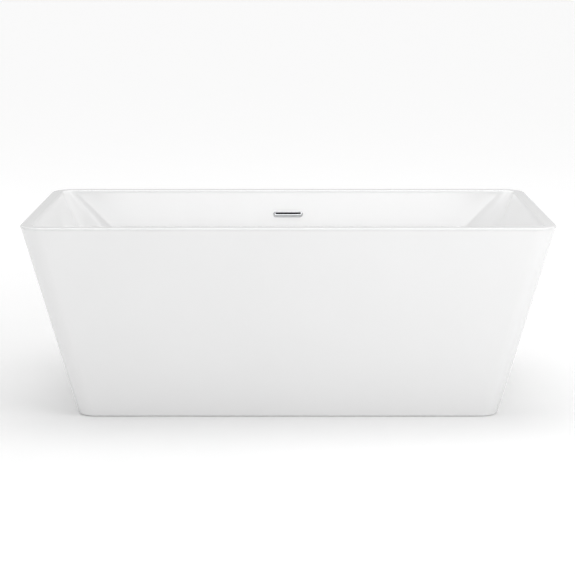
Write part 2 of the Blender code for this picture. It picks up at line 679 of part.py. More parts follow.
def straight_rod(name, start, end, radius, finish, segments=SMALL_ROUND_SEGMENTS):
    heading = (end - start).normalized()
    length = (end - start).length
    rings = along_axis([circle(radius, 0, segments), circle(radius, length, segments)], start, heading)
    return loft(name, rings, finish)


def make_drain_tee():
    """Moulded tee below the waste: socket above, branch to the overflow, outlet below."""
    tee = turned_solid("drain_tee", [(TEE_RADIUS, TEE_BOTTOM), (TEE_RADIUS, TEE_TOP)], "pvc")
    branch = straight_rod("tee_branch_tool", Vector((0, 0, BRANCH_HEIGHT)),
                          Vector((0, TEE_BRANCH_REACH, BRANCH_HEIGHT)), SOCKET_RADIUS, "pvc")
    tail_bore = TAIL_RADIUS + GAP
    outlet_bore = TAIL_PIPE_RADIUS + GAP
    ledge = TAIL_BOTTOM - PIPE_PLAY
    bore = turned_solid("tee_bore_tool",
                        [(outlet_bore, TEE_BOTTOM - TOOL_OVERRUN), (outlet_bore, ledge),
                         (tail_bore, ledge), (tail_bore, TEE_TOP + TOOL_OVERRUN)], "pvc")
    side_bore = straight_rod("tee_side_bore_tool", Vector((0, 0, BRANCH_HEIGHT)),
                             Vector((0, TEE_BRANCH_REACH + TOOL_OVERRUN, BRANCH_HEIGHT)),
                             PIPE_RADIUS + GAP, "pvc")
    cut(tee, branch, "UNION")
    cut(tee, bore)
    cut(tee, side_bore)


def make_tail_pipe():
    top = TEE_BOTTOM + SLIP_NUT_HEIGHT
    turned("tail_pipe", ring_outline(TAIL_PIPE_BORE, TAIL_PIPE_RADIUS, TAIL_PIPE_BOTTOM, top), "pvc")
    nut_top = TEE_BOTTOM - GAP
    turned("tail_nut", ring_outline(TAIL_PIPE_RADIUS + GAP, TEE_RADIUS + SLIP_NUT_WALL,
                                    nut_top - SLIP_NUT_HEIGHT, nut_top), "pvc")


def make_branch_pipe():
    """Level pipe from the tee to the elbow below the overflow, with its slip nut."""
    nut_start = TEE_BRANCH_REACH + GAP
    straight_tube("branch_nut", Vector((0, nut_start, BRANCH_HEIGHT)),
                  Vector((0, nut_start + SLIP_NUT_HEIGHT, BRANCH_HEIGHT)),
                  PIPE_RADIUS + GAP, SOCKET_RADIUS + SIDE_NUT_WALL, "pvc")
    corner = pipe_axis(BRANCH_HEIGHT)
    end = corner - BEND_RADIUS - PIPE_PLAY / 2
    straight_tube("branch_pipe", Vector((0, TEE_BRANCH_REACH - SOCKET_DEPTH, BRANCH_HEIGHT)),
                  Vector((0, end, BRANCH_HEIGHT)), PIPE_BORE, PIPE_RADIUS, "pvc")


def elbow_path():
    """Centre line of the elbow: level, a bend, then up along the leaning overflow pipe."""
    corner = Vector((0, pipe_axis(BRANCH_HEIGHT), BRANCH_HEIGHT))
    level = Vector((0, 1, 0))
    rise = Vector((0, SKIRT_LEAN_Y, 1)).normalized()
    turn = level.angle(rise)
    setback = BEND_RADIUS * math.tan(turn / 2)
    start = corner - level * setback
    centre = start + Vector((0, 0, 1)) * BEND_RADIUS
    bend_steps = 6
    path = [(start - level * SOCKET_DEPTH, level)]
    for step in range(bend_steps + 1):
        angle = turn * step / bend_steps
        heading = Vector((0, math.cos(angle), math.sin(angle)))
        path.append((centre + BEND_RADIUS * Vector((0, math.sin(angle), -math.cos(angle))), heading))
    path.append((path[-1][0] + rise * SOCKET_DEPTH, rise))
    return path


def swept_rings(path, radius):
    """Circles square to a path in the YZ plane."""
    rings = []
    for centre, heading in path:
        across = Vector((1, 0, 0))
        upward = across.cross(heading)
        ring = []
        for step in range(SMALL_ROUND_SEGMENTS):
            angle = 2 * math.pi * step / SMALL_ROUND_SEGMENTS
            ring.append(centre + radius * (across * math.cos(angle) + upward * math.sin(angle)))
        rings.append(ring)
    return rings


def make_overflow_pipework():
    path = elbow_path()
    outside = swept_rings(path, SOCKET_RADIUS)
    inside = swept_rings(path, PIPE_RADIUS + GAP)
    loft("overflow_elbow", outside + list(reversed(inside)), "pvc", looped=True)
    foot = path[-2][0] + path[-1][1] * PIPE_PLAY
    top = overflow_neck_start() - path[-1][1] * PIPE_PLAY
    straight_tube("overflow_pipe", foot, top, PIPE_BORE, PIPE_RADIUS, "pvc")


# ---- overflow in the back wall ---------------------------------------------------------------
def overflow_centre():
    """Middle of the trim on the basin's inner back wall."""
    lean = math.tan(math.radians(SIDE_SLOPE))
    return Vector((0, TUB_WIDTH / 2 - RIM_WIDTH - OVERFLOW_DEPTH * lean, TUB_HEIGHT - OVERFLOW_DEPTH))


def overflow_neck_start():
    """Where the pipe meets the head's neck, on the pipe's axis."""
    height = TUB_HEIGHT - OVERFLOW_DEPTH - HEAD_HEIGHT / 2
    return Vector((0, pipe_axis(height), height))


def slot_ring(width, height, y, rise=0.0):
    """A stadium in the XZ plane, width by height, at a depth y and raised by rise."""
    cap_steps = 8
    radius = height / 2
    ring = []
    for side in (1, -1):
        for step in range(cap_steps + 1):
            angle = -math.pi / 2 + math.pi * step / cap_steps
            x = side * (width / 2 - radius + radius * math.cos(angle))
            ring.append(Vector((x, y, rise + side * radius * math.sin(angle))))
    return ring


def make_overflow_trim(guide):
    """Chrome slot trim: rounded plate with a throat that passes through the wall."""
    throat_w = SLOT_WIDTH + 2 * THROAT_WALL
    throat_h = SLOT_HEIGHT + 2 * THROAT_WALL
    rings = [slot_ring(TRIM_WIDTH, TRIM_HEIGHT, -GAP),
             slot_ring(TRIM_WIDTH, TRIM_HEIGHT, TRIM_EDGE - TRIM_STAND),
             slot_ring(TRIM_WIDTH - 2 * TRIM_EDGE, TRIM_HEIGHT - 2 * TRIM_EDGE, -TRIM_STAND),
             slot_ring(SLOT_WIDTH, SLOT_HEIGHT, -TRIM_STAND, SLOT_RISE),
             slot_ring(SLOT_WIDTH, SLOT_HEIGHT, THROAT_REACH, SLOT_RISE),
             slot_ring(throat_w, throat_h, THROAT_REACH, SLOT_RISE),
             slot_ring(throat_w, throat_h, -GAP, SLOT_RISE)]
    loft("overflow_trim", rings, "chrome", True, guide)


def hole_ring(y, margin=0.0):
    """Outline of the hole that clears the trim's throat, made larger by a margin."""
    spare = 2 * (THROAT_WALL + WALL_HOLE_MARGIN + margin)
    return slot_ring(SLOT_WIDTH + spare, SLOT_HEIGHT + spare, y, SLOT_RISE)


def wall_hole(name, guide, start, end):
    """Cutter for the overflow's hole through a wall."""
    rings = [hole_ring(start), hole_ring(end)]
    return loft(name, rings, "pvc", False, guide)


def make_overflow_gasket(guide):
    near = TRIM_BACKS + GAP
    far = near + SEAL_THICKNESS
    rings = [hole_ring(near, OVERFLOW_GASKET_MARGIN), hole_ring(far, OVERFLOW_GASKET_MARGIN),
             hole_ring(far), hole_ring(near)]
    loft("overflow_gasket", rings, "rubber", True, guide)


def make_overflow_head(guide):
    """Flat hollow box behind the wall that leads the water down into the overflow pipe."""
    near = TRIM_BACKS + GAP + SEAL_THICKNESS + GAP
    far = near + HEAD_DEPTH
    inner_w = HEAD_WIDTH - 2 * HEAD_WALL
    inner_h = HEAD_HEIGHT - 2 * HEAD_WALL
    rings = [slot_ring(HEAD_WIDTH, HEAD_HEIGHT, far), slot_ring(HEAD_WIDTH, HEAD_HEIGHT, near),
             hole_ring(near), hole_ring(near + HEAD_WALL),
             slot_ring(inner_w, inner_h, near + HEAD_WALL),
             slot_ring(inner_w, inner_h, far - HEAD_WALL)]
    head = loft("overflow_head", rings, "pvc", False, guide)
    rise = Vector((0, SKIRT_LEAN_Y, 1)).normalized()
    start = overflow_neck_start()
    neck_top = start + rise * (HEAD_WALL / 2)
    neck = straight_rod("head_neck_tool", start - rise * (SOCKET_DEPTH + HEAD_WALL), neck_top,
                        SOCKET_RADIUS, "pvc")
    socket = straight_rod("head_socket_tool", start - rise * (SOCKET_DEPTH + 2 * HEAD_WALL),
                          start, PIPE_RADIUS + GAP, "pvc")
    bore = straight_rod("head_bore_tool", start - rise * HEAD_WALL, start + rise * 2 * HEAD_WALL,
                        HEAD_DEPTH / 2 - HEAD_WALL, "pvc")
    cut(head, neck, "UNION")
    cut(head, socket)
    cut(head, bore)


def make_overflow(basin, backing):
    guide = empty("overflow_axis", overflow_centre(), -math.radians(SIDE_SLOPE))
    make_overflow_trim(guide)
    make_overflow_gasket(guide)
    make_overflow_head(guide)
    tool = wall_hole("wall_hole_tool", guide, -2 * TOOL_OVERRUN, TRIM_BACKS + 2 * TOOL_OVERRUN)
    cut(basin, tool)
    cut(backing, tool)


def main():
    clear_scene()
    basin = make_basin_shell()
    backing = make_basin_backing()
    make_outer_skirt()
    make_base_board()
    make_frame()
    make_brackets()
    make_feet()
    make_drain_flange()
    make_drain_clamping()
    make_stopper()
    make_click_cartridge()
    make_drain_tee()
    make_tail_pipe()
    make_branch_pipe()
    make_overflow_pipework()
    make_overflow(basin, backing)


main()
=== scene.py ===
import json
import math

import bmesh
import bpy
from mathutils import Matrix, Vector, noise


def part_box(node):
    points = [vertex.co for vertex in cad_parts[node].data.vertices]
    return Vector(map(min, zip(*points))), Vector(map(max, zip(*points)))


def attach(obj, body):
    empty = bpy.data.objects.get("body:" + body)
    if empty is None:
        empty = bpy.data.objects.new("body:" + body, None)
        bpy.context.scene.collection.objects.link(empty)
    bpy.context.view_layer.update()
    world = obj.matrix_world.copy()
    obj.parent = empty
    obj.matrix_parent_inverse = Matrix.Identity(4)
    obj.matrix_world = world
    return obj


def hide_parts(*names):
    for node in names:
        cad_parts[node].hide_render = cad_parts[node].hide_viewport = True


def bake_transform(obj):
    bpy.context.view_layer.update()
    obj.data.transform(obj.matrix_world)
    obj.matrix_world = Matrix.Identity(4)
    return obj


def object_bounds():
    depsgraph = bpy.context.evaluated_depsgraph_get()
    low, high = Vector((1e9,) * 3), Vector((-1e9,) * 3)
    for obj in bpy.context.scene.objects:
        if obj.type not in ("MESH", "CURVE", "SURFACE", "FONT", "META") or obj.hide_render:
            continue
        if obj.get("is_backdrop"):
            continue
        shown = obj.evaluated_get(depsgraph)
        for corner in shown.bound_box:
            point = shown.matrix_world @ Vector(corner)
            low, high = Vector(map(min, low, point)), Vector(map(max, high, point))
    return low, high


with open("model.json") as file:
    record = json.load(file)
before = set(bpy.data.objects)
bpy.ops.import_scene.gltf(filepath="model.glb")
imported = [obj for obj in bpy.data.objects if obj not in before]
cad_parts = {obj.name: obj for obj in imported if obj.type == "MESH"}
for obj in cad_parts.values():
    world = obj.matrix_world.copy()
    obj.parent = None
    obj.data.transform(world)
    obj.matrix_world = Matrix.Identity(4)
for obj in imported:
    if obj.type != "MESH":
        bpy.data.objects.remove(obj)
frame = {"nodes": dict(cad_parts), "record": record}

CAD_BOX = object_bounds()

# ---- sizes that the frame gives ----
RECORD = frame["record"]
BODY_OF = {n: body for body, nodes in RECORD["behaviour"]["bodies"].items() for n in nodes}
FLANGE_LOW, FLANGE_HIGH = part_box("drain_flange")
SKIRT_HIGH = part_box("outer_skirt")[1]
BACKING_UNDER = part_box("basin_backing")[0].z
TUB_HALF_X, TUB_HALF_Y, TUB_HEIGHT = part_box("basin_shell")[1]


def foot_ring(node):
    """Half sizes along X and Y, and the height, of a node's lowest ring of points."""
    reach = 0.001
    points = [vertex.co for vertex in frame["nodes"][node].data.vertices]
    foot = min(point.z for point in points)
    ring = [point for point in points if point.z < foot + reach]
    return max(point.x for point in ring), max(point.y for point in ring), foot


BASE_HALF_X, BASE_HALF_Y, SKIRT_FOOT = foot_ring("outer_skirt")
LEAN_X = (SKIRT_HIGH.x - BASE_HALF_X) / (SKIRT_HIGH.z - SKIRT_FOOT)
LEAN_Y = (SKIRT_HIGH.y - BASE_HALF_Y) / (SKIRT_HIGH.z - SKIRT_FOOT)

# ---- the tub's own shape, metres and degrees ----
RIM_WIDTH = 0.037
RIM_CORNER_RADIUS = 0.075
BASE_CORNER_RADIUS = 0.058
RIM_THICKNESS = 0.006
RIM_OUTER_ROUNDING = 0.0045
RIM_INNER_ROUNDING = 0.008
SKIRT_THICKNESS = 0.006
SKIRT_FOOT_ROUNDING = 0.0022
BASIN_THICKNESS = 0.005
END_SLOPE = 27.0
SIDE_SLOPE = 10.0
CORNER_GROWTH = 0.55
CORNER_SHARE = 0.80
FILLET_DROP = 0.090
FLOOR_EDGE = 0.155
FLOOR_DRAIN = 0.145
FLOOR_EASE = 1.3
WALL_DEPTH = TUB_HEIGHT - FLOOR_EDGE - FILLET_DROP
DRAIN_HOLE = 0.026
RECESS_RADIUS = 0.044
RECESS_DEPTH = 0.004
RECESS_LIP = 0.004
RECESS_SLANT = 0.002
RECESS_ROUNDING = 0.0016
BACKING_TOP_DEPTH = 0.018
BACKING_INNER = 0.0053
BACKING_OUTER = 0.0093
THREAD_PITCH = 0.00175
GAP = 0.0003
LINING_MARGIN = 0.022
LINING_THICKNESS = 0.0015
LINING_OVERLAP = 0.0002
LINING_WAVES = 22.0
LINING_NOISE = (0.8, 2.0, 3)
LINING_UNEVEN = 0.0005
LINING_RAGGED = 0.006

# ---- how finely the smooth shapes are divided ----
CORNER_STEPS = 20
LONG_STEPS = 28
SHORT_STEPS = 16
RIM_STEPS = 7
ROLL_STEPS = 8
WALL_STEPS = 10
FILLET_STEPS = 18
FLOOR_STEPS = 14
BED_STEPS = 8
LINING_ROWS = 24
SLOT_STEPS = 20
RAIL_STEPS = 5
ROUND = 96
SHARP = 35
SHELL_SHARP = 50
WIRE_SHARP = 60


# ---- mesh helpers ----
def shade(mesh, sharp):
    mesh.shade_smooth()
    mesh.set_sharp_from_angle(angle=math.radians(sharp))


def add_mesh(name, points, faces, sharp=40):
    shape = bmesh.new()
    corners = [shape.verts.new(point) for point in points]
    for face in faces:
        shape.faces.new([corners[index] for index in face])
    bmesh.ops.recalc_face_normals(shape, faces=shape.faces)
    mesh = bpy.data.meshes.new(name)
    shape.to_mesh(mesh)
    shape.free()
    shade(mesh, sharp)
    thing = bpy.data.objects.new(name, mesh)
    bpy.context.scene.collection.objects.link(thing)
    return thing


def loft_parts(rings, looped, base=0):
    """Points and faces of a skin over equal rings; an open loft gets a cap at each end."""
    size = len(rings[0])
    points = [point for ring in rings for point in ring]
    faces = []
    for index in range(len(rings) if looped else len(rings) - 1):
        low = base + index * size
        high = base + (index + 1) % len(rings) * size
        for step in range(size):
            after = (step + 1) % size
            faces.append((low + step, low + after, high + after, high + step))
    if not looped:
        last = base + (len(rings) - 1) * size
        faces += [tuple(start + step for step in range(size)) for start in (base, last)]
    return points, faces


def loft(name, rings, looped=False, sharp=SHARP):
    return add_mesh(name, *loft_parts(rings, looped), sharp)


def merge(name, skins):
    """One object from several closed lofts, each given as (rings, looped)."""
    points = []
    faces = []
    for rings, looped in skins:
        more_points, more_faces = loft_parts(rings, looped, len(points))
        points += more_points
        faces += more_faces
    return add_mesh(name, points, faces)


def circle(radius, height, segments=ROUND, turn=0.0):
    angles = [2 * math.pi * step / segments + turn for step in range(segments)]
    return [Vector((radius * math.cos(a), radius * math.sin(a), height)) for a in angles]


def around(centre, across, upward, segments):
    """A ring round centre in the plane of two vectors, which also give its reach."""
    return [centre + across * math.cos(t) + upward * math.sin(t)
            for t in (2 * math.pi * side / segments for side in range(segments))]


def box_outline(half_a, half_b, radius, steps, runs=(1, 1)):
    """Points of a rounded rectangle, each with the direction in which its side faces."""
    points = []
    for quarter, (side_a, side_b) in enumerate(((1, 1), (-1, 1), (-1, -1), (1, -1))):
        for step in range(steps + 1):
            angle = math.pi / 2 * (quarter + step / steps)
            points.append((side_a * (half_a - radius) + radius * math.cos(angle),
                           side_b * (half_b - radius) + radius * math.sin(angle), angle))
        a, b, angle = points[-1]
        stride = 2 * ((half_a, half_b)[quarter % 2] - radius) / runs[quarter % 2]
        points += [(a - math.sin(angle) * stride * step, b + math.cos(angle) * stride * step, angle)
                   for step in range(1, runs[quarter % 2])]
    return points


def rounded(outline, radius, steps=4, closed=True):
    """The outline with each corner replaced by an arc of radius, or less where there is no room."""
    straight = math.radians(170)
    room = 0.48
    result = []
    count = len(outline)
    for index, corner in enumerate(outline):
        here = Vector(corner)
        before = Vector(outline[index - 1]) - here
        after = Vector(outline[(index + 1) % count]) - here
        if not closed and index in (0, count - 1) or before.angle(after) > straight:
            result.append(tuple(corner))
            continue
        angle = before.angle(after)
        reach = min(radius / math.tan(angle / 2), before.length * room, after.length * room)
        bend = reach * math.tan(angle / 2)
        before.normalize()
        after.normalize()
        middle = here + (before + after).normalized() * (bend / math.sin(angle / 2))
        start = here + before * reach - middle
        end = here + after * reach - middle
        for step in range(steps + 1):
            result.append(tuple(middle + start.lerp(end, step / steps).normalized() * bend))
    return result


def turned_rings(outline, segments=ROUND):
    return [circle(max(radius, 0.00001), height, segments) for radius, height in outline]


def placed(rings, start, heading=Vector((0, 0, 1))):
    """Rings made round +Z, moved to start and turned to run along heading."""
    spin = Vector((0, 0, 1)).rotation_difference(heading)
    return [[start + spin @ point for point in ring] for ring in rings]


def combine(target, rings, operation):
    """Applies a Boolean with another object, or with the solid that the rings make."""
    tool = rings if isinstance(rings, bpy.types.Object) else loft("tool", rings)
    change = target.modifiers.new("combine", "BOOLEAN")
    change.operation = operation
    change.object = tool
    graph = bpy.context.evaluated_depsgraph_get()
    target.data = bpy.data.meshes.new_from_object(target.evaluated_get(graph))
    target.modifiers.clear()
    shade(target.data, SHARP)
    bpy.data.objects.remove(tool, do_unlink=True)
    return target


def node_middle(node):
    low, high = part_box(node)
    return (low + high) / 2


def dress(piece, material):
    piece.data.materials.clear()
    piece.data.materials.append(material)
    return piece


def stand_for(piece, node, material):
    """The piece takes its material, rides with its CAD node's body and hides the node."""
    dress(piece, material)
    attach(piece, BODY_OF[node])
    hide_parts(node)


def stand_in(name, node, rings, material, looped=True, sharp=SHARP):
    stand_for(loft(name, rings, looped, sharp), node, material)


def extra(piece, material):
    """A piece of the tub that has no CAD node."""
    dress(piece, material)
    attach(piece, "tub")


# ---- material helpers ----
def feed(source, target, socket):
    target.id_data.links.new(source, target.inputs[socket])


def put(kind, inputs, **settings):
    """Adds a node beside those that feed it; an input may be a value or a socket."""
    feeding = [value for value in inputs.values() if isinstance(value, bpy.types.NodeSocket)]
    made = feeding[0].id_data.nodes.new(kind)
    for key, value in settings.items():
        setattr(made, key, value)
    for key, value in inputs.items():
        if value in feeding:
            feed(value, made, key)
        else:
            made.inputs[key].default_value = value
    return made


def ramp(source, stops):
    """Colour ramp over (place, colour or grey level) stops."""
    made = put("ShaderNodeValToRGB", {"Fac": source})
    elements = made.color_ramp.elements
    while len(elements) < len(stops):
        elements.new(0.5)
    for element, (place, colour) in zip(elements, stops):
        element.position = place
        shade_rgb = colour if isinstance(colour, tuple) else (colour, colour, colour)
        element.color = (*shade_rgb, 1)
    return made.outputs["Color"]


def span(source, low, high):
    """Maps 0..1 to low..high."""
    made = put("ShaderNodeMapRange", {"Value": source, "To Min": low, "To Max": high})
    return made.outputs["Result"]


def maths(operation, first, second=0.0):
    return put("ShaderNodeMath", {0: first, 1: second}, operation=operation).outputs[0]


def new_material(name):
    """A material, its Principled shader and the piece's own coordinates."""
    material = bpy.data.materials.new(name)
    material.use_nodes = True
    nodes = material.node_tree.nodes
    coords = nodes.new("ShaderNodeTexCoord").outputs["Object"]
    return material, nodes["Principled BSDF"], coords


def scaled(coords, *scale):
    return put("ShaderNodeMapping", {"Vector": coords, "Scale": scale}).outputs[0]


def speckle(coords, scale, detail=3.0, rough=0.5):
    made = put("ShaderNodeTexNoise",
               {"Vector": coords, "Scale": scale, "Detail": detail, "Roughness": rough})
    return made.outputs["Fac"]


def cell_tone(coords, scale):
    """A random level for each cell of a Voronoi pattern."""
    cells = put("ShaderNodeTexVoronoi", {"Vector": coords, "Scale": scale})
    return put("ShaderNodeSeparateColor", {"Color": cells.outputs["Color"]}).outputs["Red"]


def bump(shader, height, distance, strength, below=None):
    inputs = {"Height": height, "Distance": distance, "Strength": strength}
    if below is not None:
        inputs["Normal"] = below
    made = put("ShaderNodeBump", inputs)
    feed(made.outputs["Normal"], shader, "Normal")
    return made.outputs["Normal"]


def noisy_material(name, tone, stops, gloss, relief, grain=None, texture=None, drawn=1.0,
                   swell=None, swell_relief=None, **sockets):
    """Tones in noise, a roughness that follows the grain, and a fine relief over a swell.

    Noises are (scale, detail, roughness) and reliefs (distance, strength). The grain is drawn long
    across Z. Without a grain the tone's noise serves, and without a texture the grain's.
    """
    material, shader, coords = new_material(name)
    tones = speckle(coords, *tone)
    along = coords if drawn == 1.0 else scaled(coords, 1.0, 1.0, drawn)
    grains = speckle(along, *grain) if grain else tones
    feed(ramp(tones, stops), shader, "Base Color")
    feed(span(grains, *gloss), shader, "Roughness")
    below = bump(shader, speckle(coords, *swell), *swell_relief) if swell else None
    bump(shader, speckle(coords, *texture) if texture else grains, *relief, below)
    for socket, value in sockets.items():
        shader.inputs[socket.replace("_", " ")].default_value = value
    return material


# ---- materials ----
def laminate_material():
    """Chopped-strand glass fibre in resin: short strands laid every way, glossy resin pools."""
    material, shader, coords = new_material("glass_fibre_laminate")
    layers = []
    for scale, seed in ((26.0, 0.0), (33.0, 5.0), (41.0, 9.0)):
        shifted = put("ShaderNodeVectorMath",
                      {0: coords, 1: (seed, seed * 0.7, seed * 0.3)}, operation="ADD").outputs[0]
        cells = put("ShaderNodeTexVoronoi", {"Vector": shifted, "Scale": scale})
        turn = maths("MULTIPLY", cells.outputs["Color"], 12.0)
        spun = put("ShaderNodeVectorRotate",
                   {"Vector": shifted, "Axis": (0.3, 0.4, 1.0), "Angle": turn}).outputs[0]
        layers.append(speckle(scaled(spun, 1.0, 14.0, 14.0), 60.0, 2.0))
    strands = maths("MAXIMUM", maths("MAXIMUM", *layers[:2]), layers[2])
    colour = ramp(strands, [(0.48, (0.42, 0.40, 0.29)), (0.60, (0.60, 0.58, 0.47)),
                            (0.72, (0.80, 0.79, 0.70))])
    feed(colour, shader, "Base Color")
    pools = speckle(coords, 14.0, 3.0)
    feed(ramp(pools, [(0.35, 0.22), (0.65, 0.62)]), shader, "Roughness")
    lumps = bump(shader, pools, 0.004, 0.6)
    bump(shader, strands, 0.0012, 0.9, lumps)
    return material


def board_material():
    """Particle board: pressed wood flakes of mixed tones with a sanded face."""
    material, shader, coords = new_material("particle_board")
    tone = cell_tone(scaled(coords, 1.0, 1.6, 2.6), 260.0)
    fine = speckle(coords, 700.0, 3.0)
    both = maths("ADD", tone, fine)
    colour = ramp(span(both, -0.2, 0.8),
                  [(0.0, (0.27, 0.17, 0.09)), (0.35, (0.47, 0.33, 0.19)),
                   (0.7, (0.62, 0.47, 0.29)), (1.0, (0.74, 0.60, 0.41))])
    feed(colour, shader, "Base Color")
    feed(span(fine, 0.62, 0.85), shader, "Roughness")
    bump(shader, both, 0.0006, 0.6)
    return material


def galvanised_material():
    """Hot-dip galvanising: zinc spangles, each reflecting differently, with dull patches."""
    material, shader, coords = new_material("galvanised_steel")
    tone = cell_tone(coords, 150.0)
    mixed = maths("MULTIPLY", tone, speckle(coords, 18.0, 4.0))
    feed(ramp(mixed, [(0.0, (0.50, 0.51, 0.52)), (0.35, (0.61, 0.62, 0.63)),
                      (0.8, (0.74, 0.75, 0.76))]), shader, "Base Color")
    feed(span(tone, 0.30, 0.52), shader, "Roughness")
    shader.inputs["Metallic"].default_value = 1.0
    bump(shader, speckle(coords, 240.0, 3.0), 0.0002, 0.35)
    return material


# what noisy_material makes of each plain material
LOOKS = {
    # high-gloss sanitary acrylic: faint cloudiness, vacuum-forming ripple, polish marks
    "white_acrylic_sheet": dict(
        tone=(2.2, 2.0), grain=(55.0, 5.0, 0.6), gloss=(0.07, 0.15),
        stops=[(0.3, 0.832), (0.7, 0.848)], swell=(3.0, 1.0), swell_relief=(0.004, 0.08),
        texture=(420.0, 2.0), relief=(0.0002, 0.05), IOR=1.49, Coat_Weight=0.25,
        Coat_Roughness=0.04),
    # bright zinc plate over machined steel, with fine turning marks and dulled spots
    "zinc_plated_steel": dict(
        tone=(60.0, 3.0), grain=(420.0, 3.0), drawn=9.0, gloss=(0.20, 0.40),
        stops=[(0.35, (0.62, 0.62, 0.58)), (0.65, (0.76, 0.76, 0.75))],
        relief=(0.0001, 0.3), Metallic=1.0),
    # polished chrome with faint wipe marks
    "polished_chrome": dict(
        tone=(130.0, 4.0, 0.6), gloss=(0.03, 0.10),
        stops=[(0.3, (0.56, 0.57, 0.58)), (0.7, (0.62, 0.63, 0.64))],
        texture=(45.0, 2.0), relief=(0.0003, 0.04), Metallic=1.0),
    # machined brass, dulled a little and darker where it has been handled
    "machined_brass": dict(
        tone=(40.0, 4.0), grain=(300.0, 2.0), drawn=12.0, gloss=(0.18, 0.42),
        stops=[(0.30, (0.55, 0.40, 0.16)), (0.65, (0.80, 0.62, 0.30))],
        relief=(0.0001, 0.35), Metallic=1.0),
    # black moulded rubber with a dusty bloom
    "black_rubber": dict(
        tone=(90.0, 5.0, 0.65), gloss=(0.55, 0.85),
        stops=[(0.35, (0.018, 0.018, 0.019)), (0.70, (0.060, 0.060, 0.062))],
        texture=(900.0, 2.0), relief=(0.0002, 0.5)),
    # painted shade: near-black stuff set in the overflow slot's throat and head box so that the slot
    # reads dark; it throws back next to no light
    "painted_slot_shade": dict(
        tone=(600.0, 4.0), gloss=(0.80, 0.98), stops=[(0.30, 0.003), (0.70, 0.010)],
        relief=(0.0002, 0.6), Specular_IOR_Level=0.04),
    # moulded grey-white PVC: slight flow mottling, satin skin
    "moulded_pvc": dict(
        tone=(22.0, 3.0), grain=(500.0, 3.0), gloss=(0.30, 0.48),
        stops=[(0.30, (0.70, 0.70, 0.67)), (0.70, (0.80, 0.80, 0.78))], relief=(0.0001, 0.35)),
    # weld metal: darker, tinted by heat
    "weld_metal": dict(
        tone=(160.0, 3.0), gloss=(0.35, 0.65),
        stops=[(0.30, (0.20, 0.18, 0.17)), (0.70, (0.48, 0.46, 0.44))],
        texture=(600.0, 2.0), relief=(0.0003, 0.5), Metallic=1.0),
}


# ---- rings of the tub's shells ----
def tub_ring(half_x, half_y, radius, z_end, z_side=None):
    """A rounded rectangle; its height may differ between the end walls and the long walls."""
    rise = 0.0 if z_side is None else z_side - z_end
    outline = box_outline(half_x, half_y, radius, CORNER_STEPS, (LONG_STEPS, SHORT_STEPS))
    return [Vector((x, y, z_end + rise * math.sin(angle) ** 2)) for x, y, angle in outline]


def drain_ring(radius, height):
    """A circle round the drain whose points line up with those of the tub's rings."""
    count = 4 * CORNER_STEPS + 2 * LONG_STEPS + 2 * SHORT_STEPS
    return circle(radius, height, count, math.pi * SHORT_STEPS / count)


def skirt_ring(height, inset=0.0):
    half_x = BASE_HALF_X + LEAN_X * (height - SKIRT_FOOT) - inset
    half_y = BASE_HALF_Y + LEAN_Y * (height - SKIRT_FOOT) - inset
    growth = (RIM_CORNER_RADIUS - BASE_CORNER_RADIUS) * height / TUB_HEIGHT
    return tub_ring(half_x, half_y, BASE_CORNER_RADIUS + growth - inset, height)


def arc_stations(reach, height, radius, start, turn, steps):
    """Stations on an arc: (reach, height, normal); a negative radius bulges into the bath."""
    stations = []
    for step in range(steps + 1):
        across = math.cos(start + turn * step / steps)
        down = -math.sin(start + turn * step / steps)
        stations.append((reach + radius * across, height + radius * down, across, down))
    return stations


def basin_profile(half, slope):
    """The basin's inner surface in section, rim to floor: (reach, height, normal into the wall)."""
    lean = math.radians(slope)
    turn = math.pi / 2 - lean
    roll = RIM_INNER_ROUNDING
    radius = FILLET_DROP / (1 - math.sin(lean))
    stations = arc_stations(half + roll * math.tan(turn / 2), TUB_HEIGHT - roll, -roll,
                            math.pi / 2, -turn, ROLL_STEPS)
    for step in range(WALL_STEPS):
        depth = BACKING_TOP_DEPTH + (WALL_DEPTH - BACKING_TOP_DEPTH) * step / WALL_STEPS
        stations.append((half - depth * math.tan(lean), TUB_HEIGHT - depth,
                         math.cos(lean), -math.sin(lean)))
    return stations + arc_stations(
        half - WALL_DEPTH * math.tan(lean) - radius * math.cos(lean),
        TUB_HEIGHT - WALL_DEPTH + radius * math.sin(lean), radius, lean, turn, FILLET_STEPS)


def basin_rings(offset):
    ends = basin_profile(TUB_HALF_X - RIM_WIDTH, END_SLOPE)
    sides = basin_profile(TUB_HALF_Y - RIM_WIDTH, SIDE_SLOPE)
    rings = []
    for end, side in zip(ends, sides):
        depth = TUB_HEIGHT - (end[1] + side[1]) / 2
        radius = RIM_CORNER_RADIUS - RIM_WIDTH + CORNER_GROWTH * depth
        radius = min(radius, CORNER_SHARE * side[0]) + offset * (end[2] + side[2]) / 2
        rings.append(tub_ring(end[0] + offset * end[2], side[0] + offset * side[2], radius,
                              end[1] + offset * end[3], side[1] + offset * side[3]))
    return rings


def flattened(edge, target, share, height):
    """A ring part of the way from one ring to another, at one height."""
    ring = [a.lerp(b, share) for a, b in zip(edge, target)]
    return [Vector((point.x, point.y, height)) for point in ring]


def floor_rings(edge, offset, lip):
    """The floor from its edge to the recess, falling smoothly towards the drain."""
    target = drain_ring(lip, FLOOR_DRAIN - offset)
    rings = []
    for step in range(1, FLOOR_STEPS):
        share = 1 - (1 - step / FLOOR_STEPS) ** FLOOR_EASE
        fall = share * share * (3 - 2 * share)
        height = FLOOR_EDGE + (FLOOR_DRAIN - FLOOR_EDGE) * fall - offset
        rings.append(flattened(edge, target, share, height))
    return rings


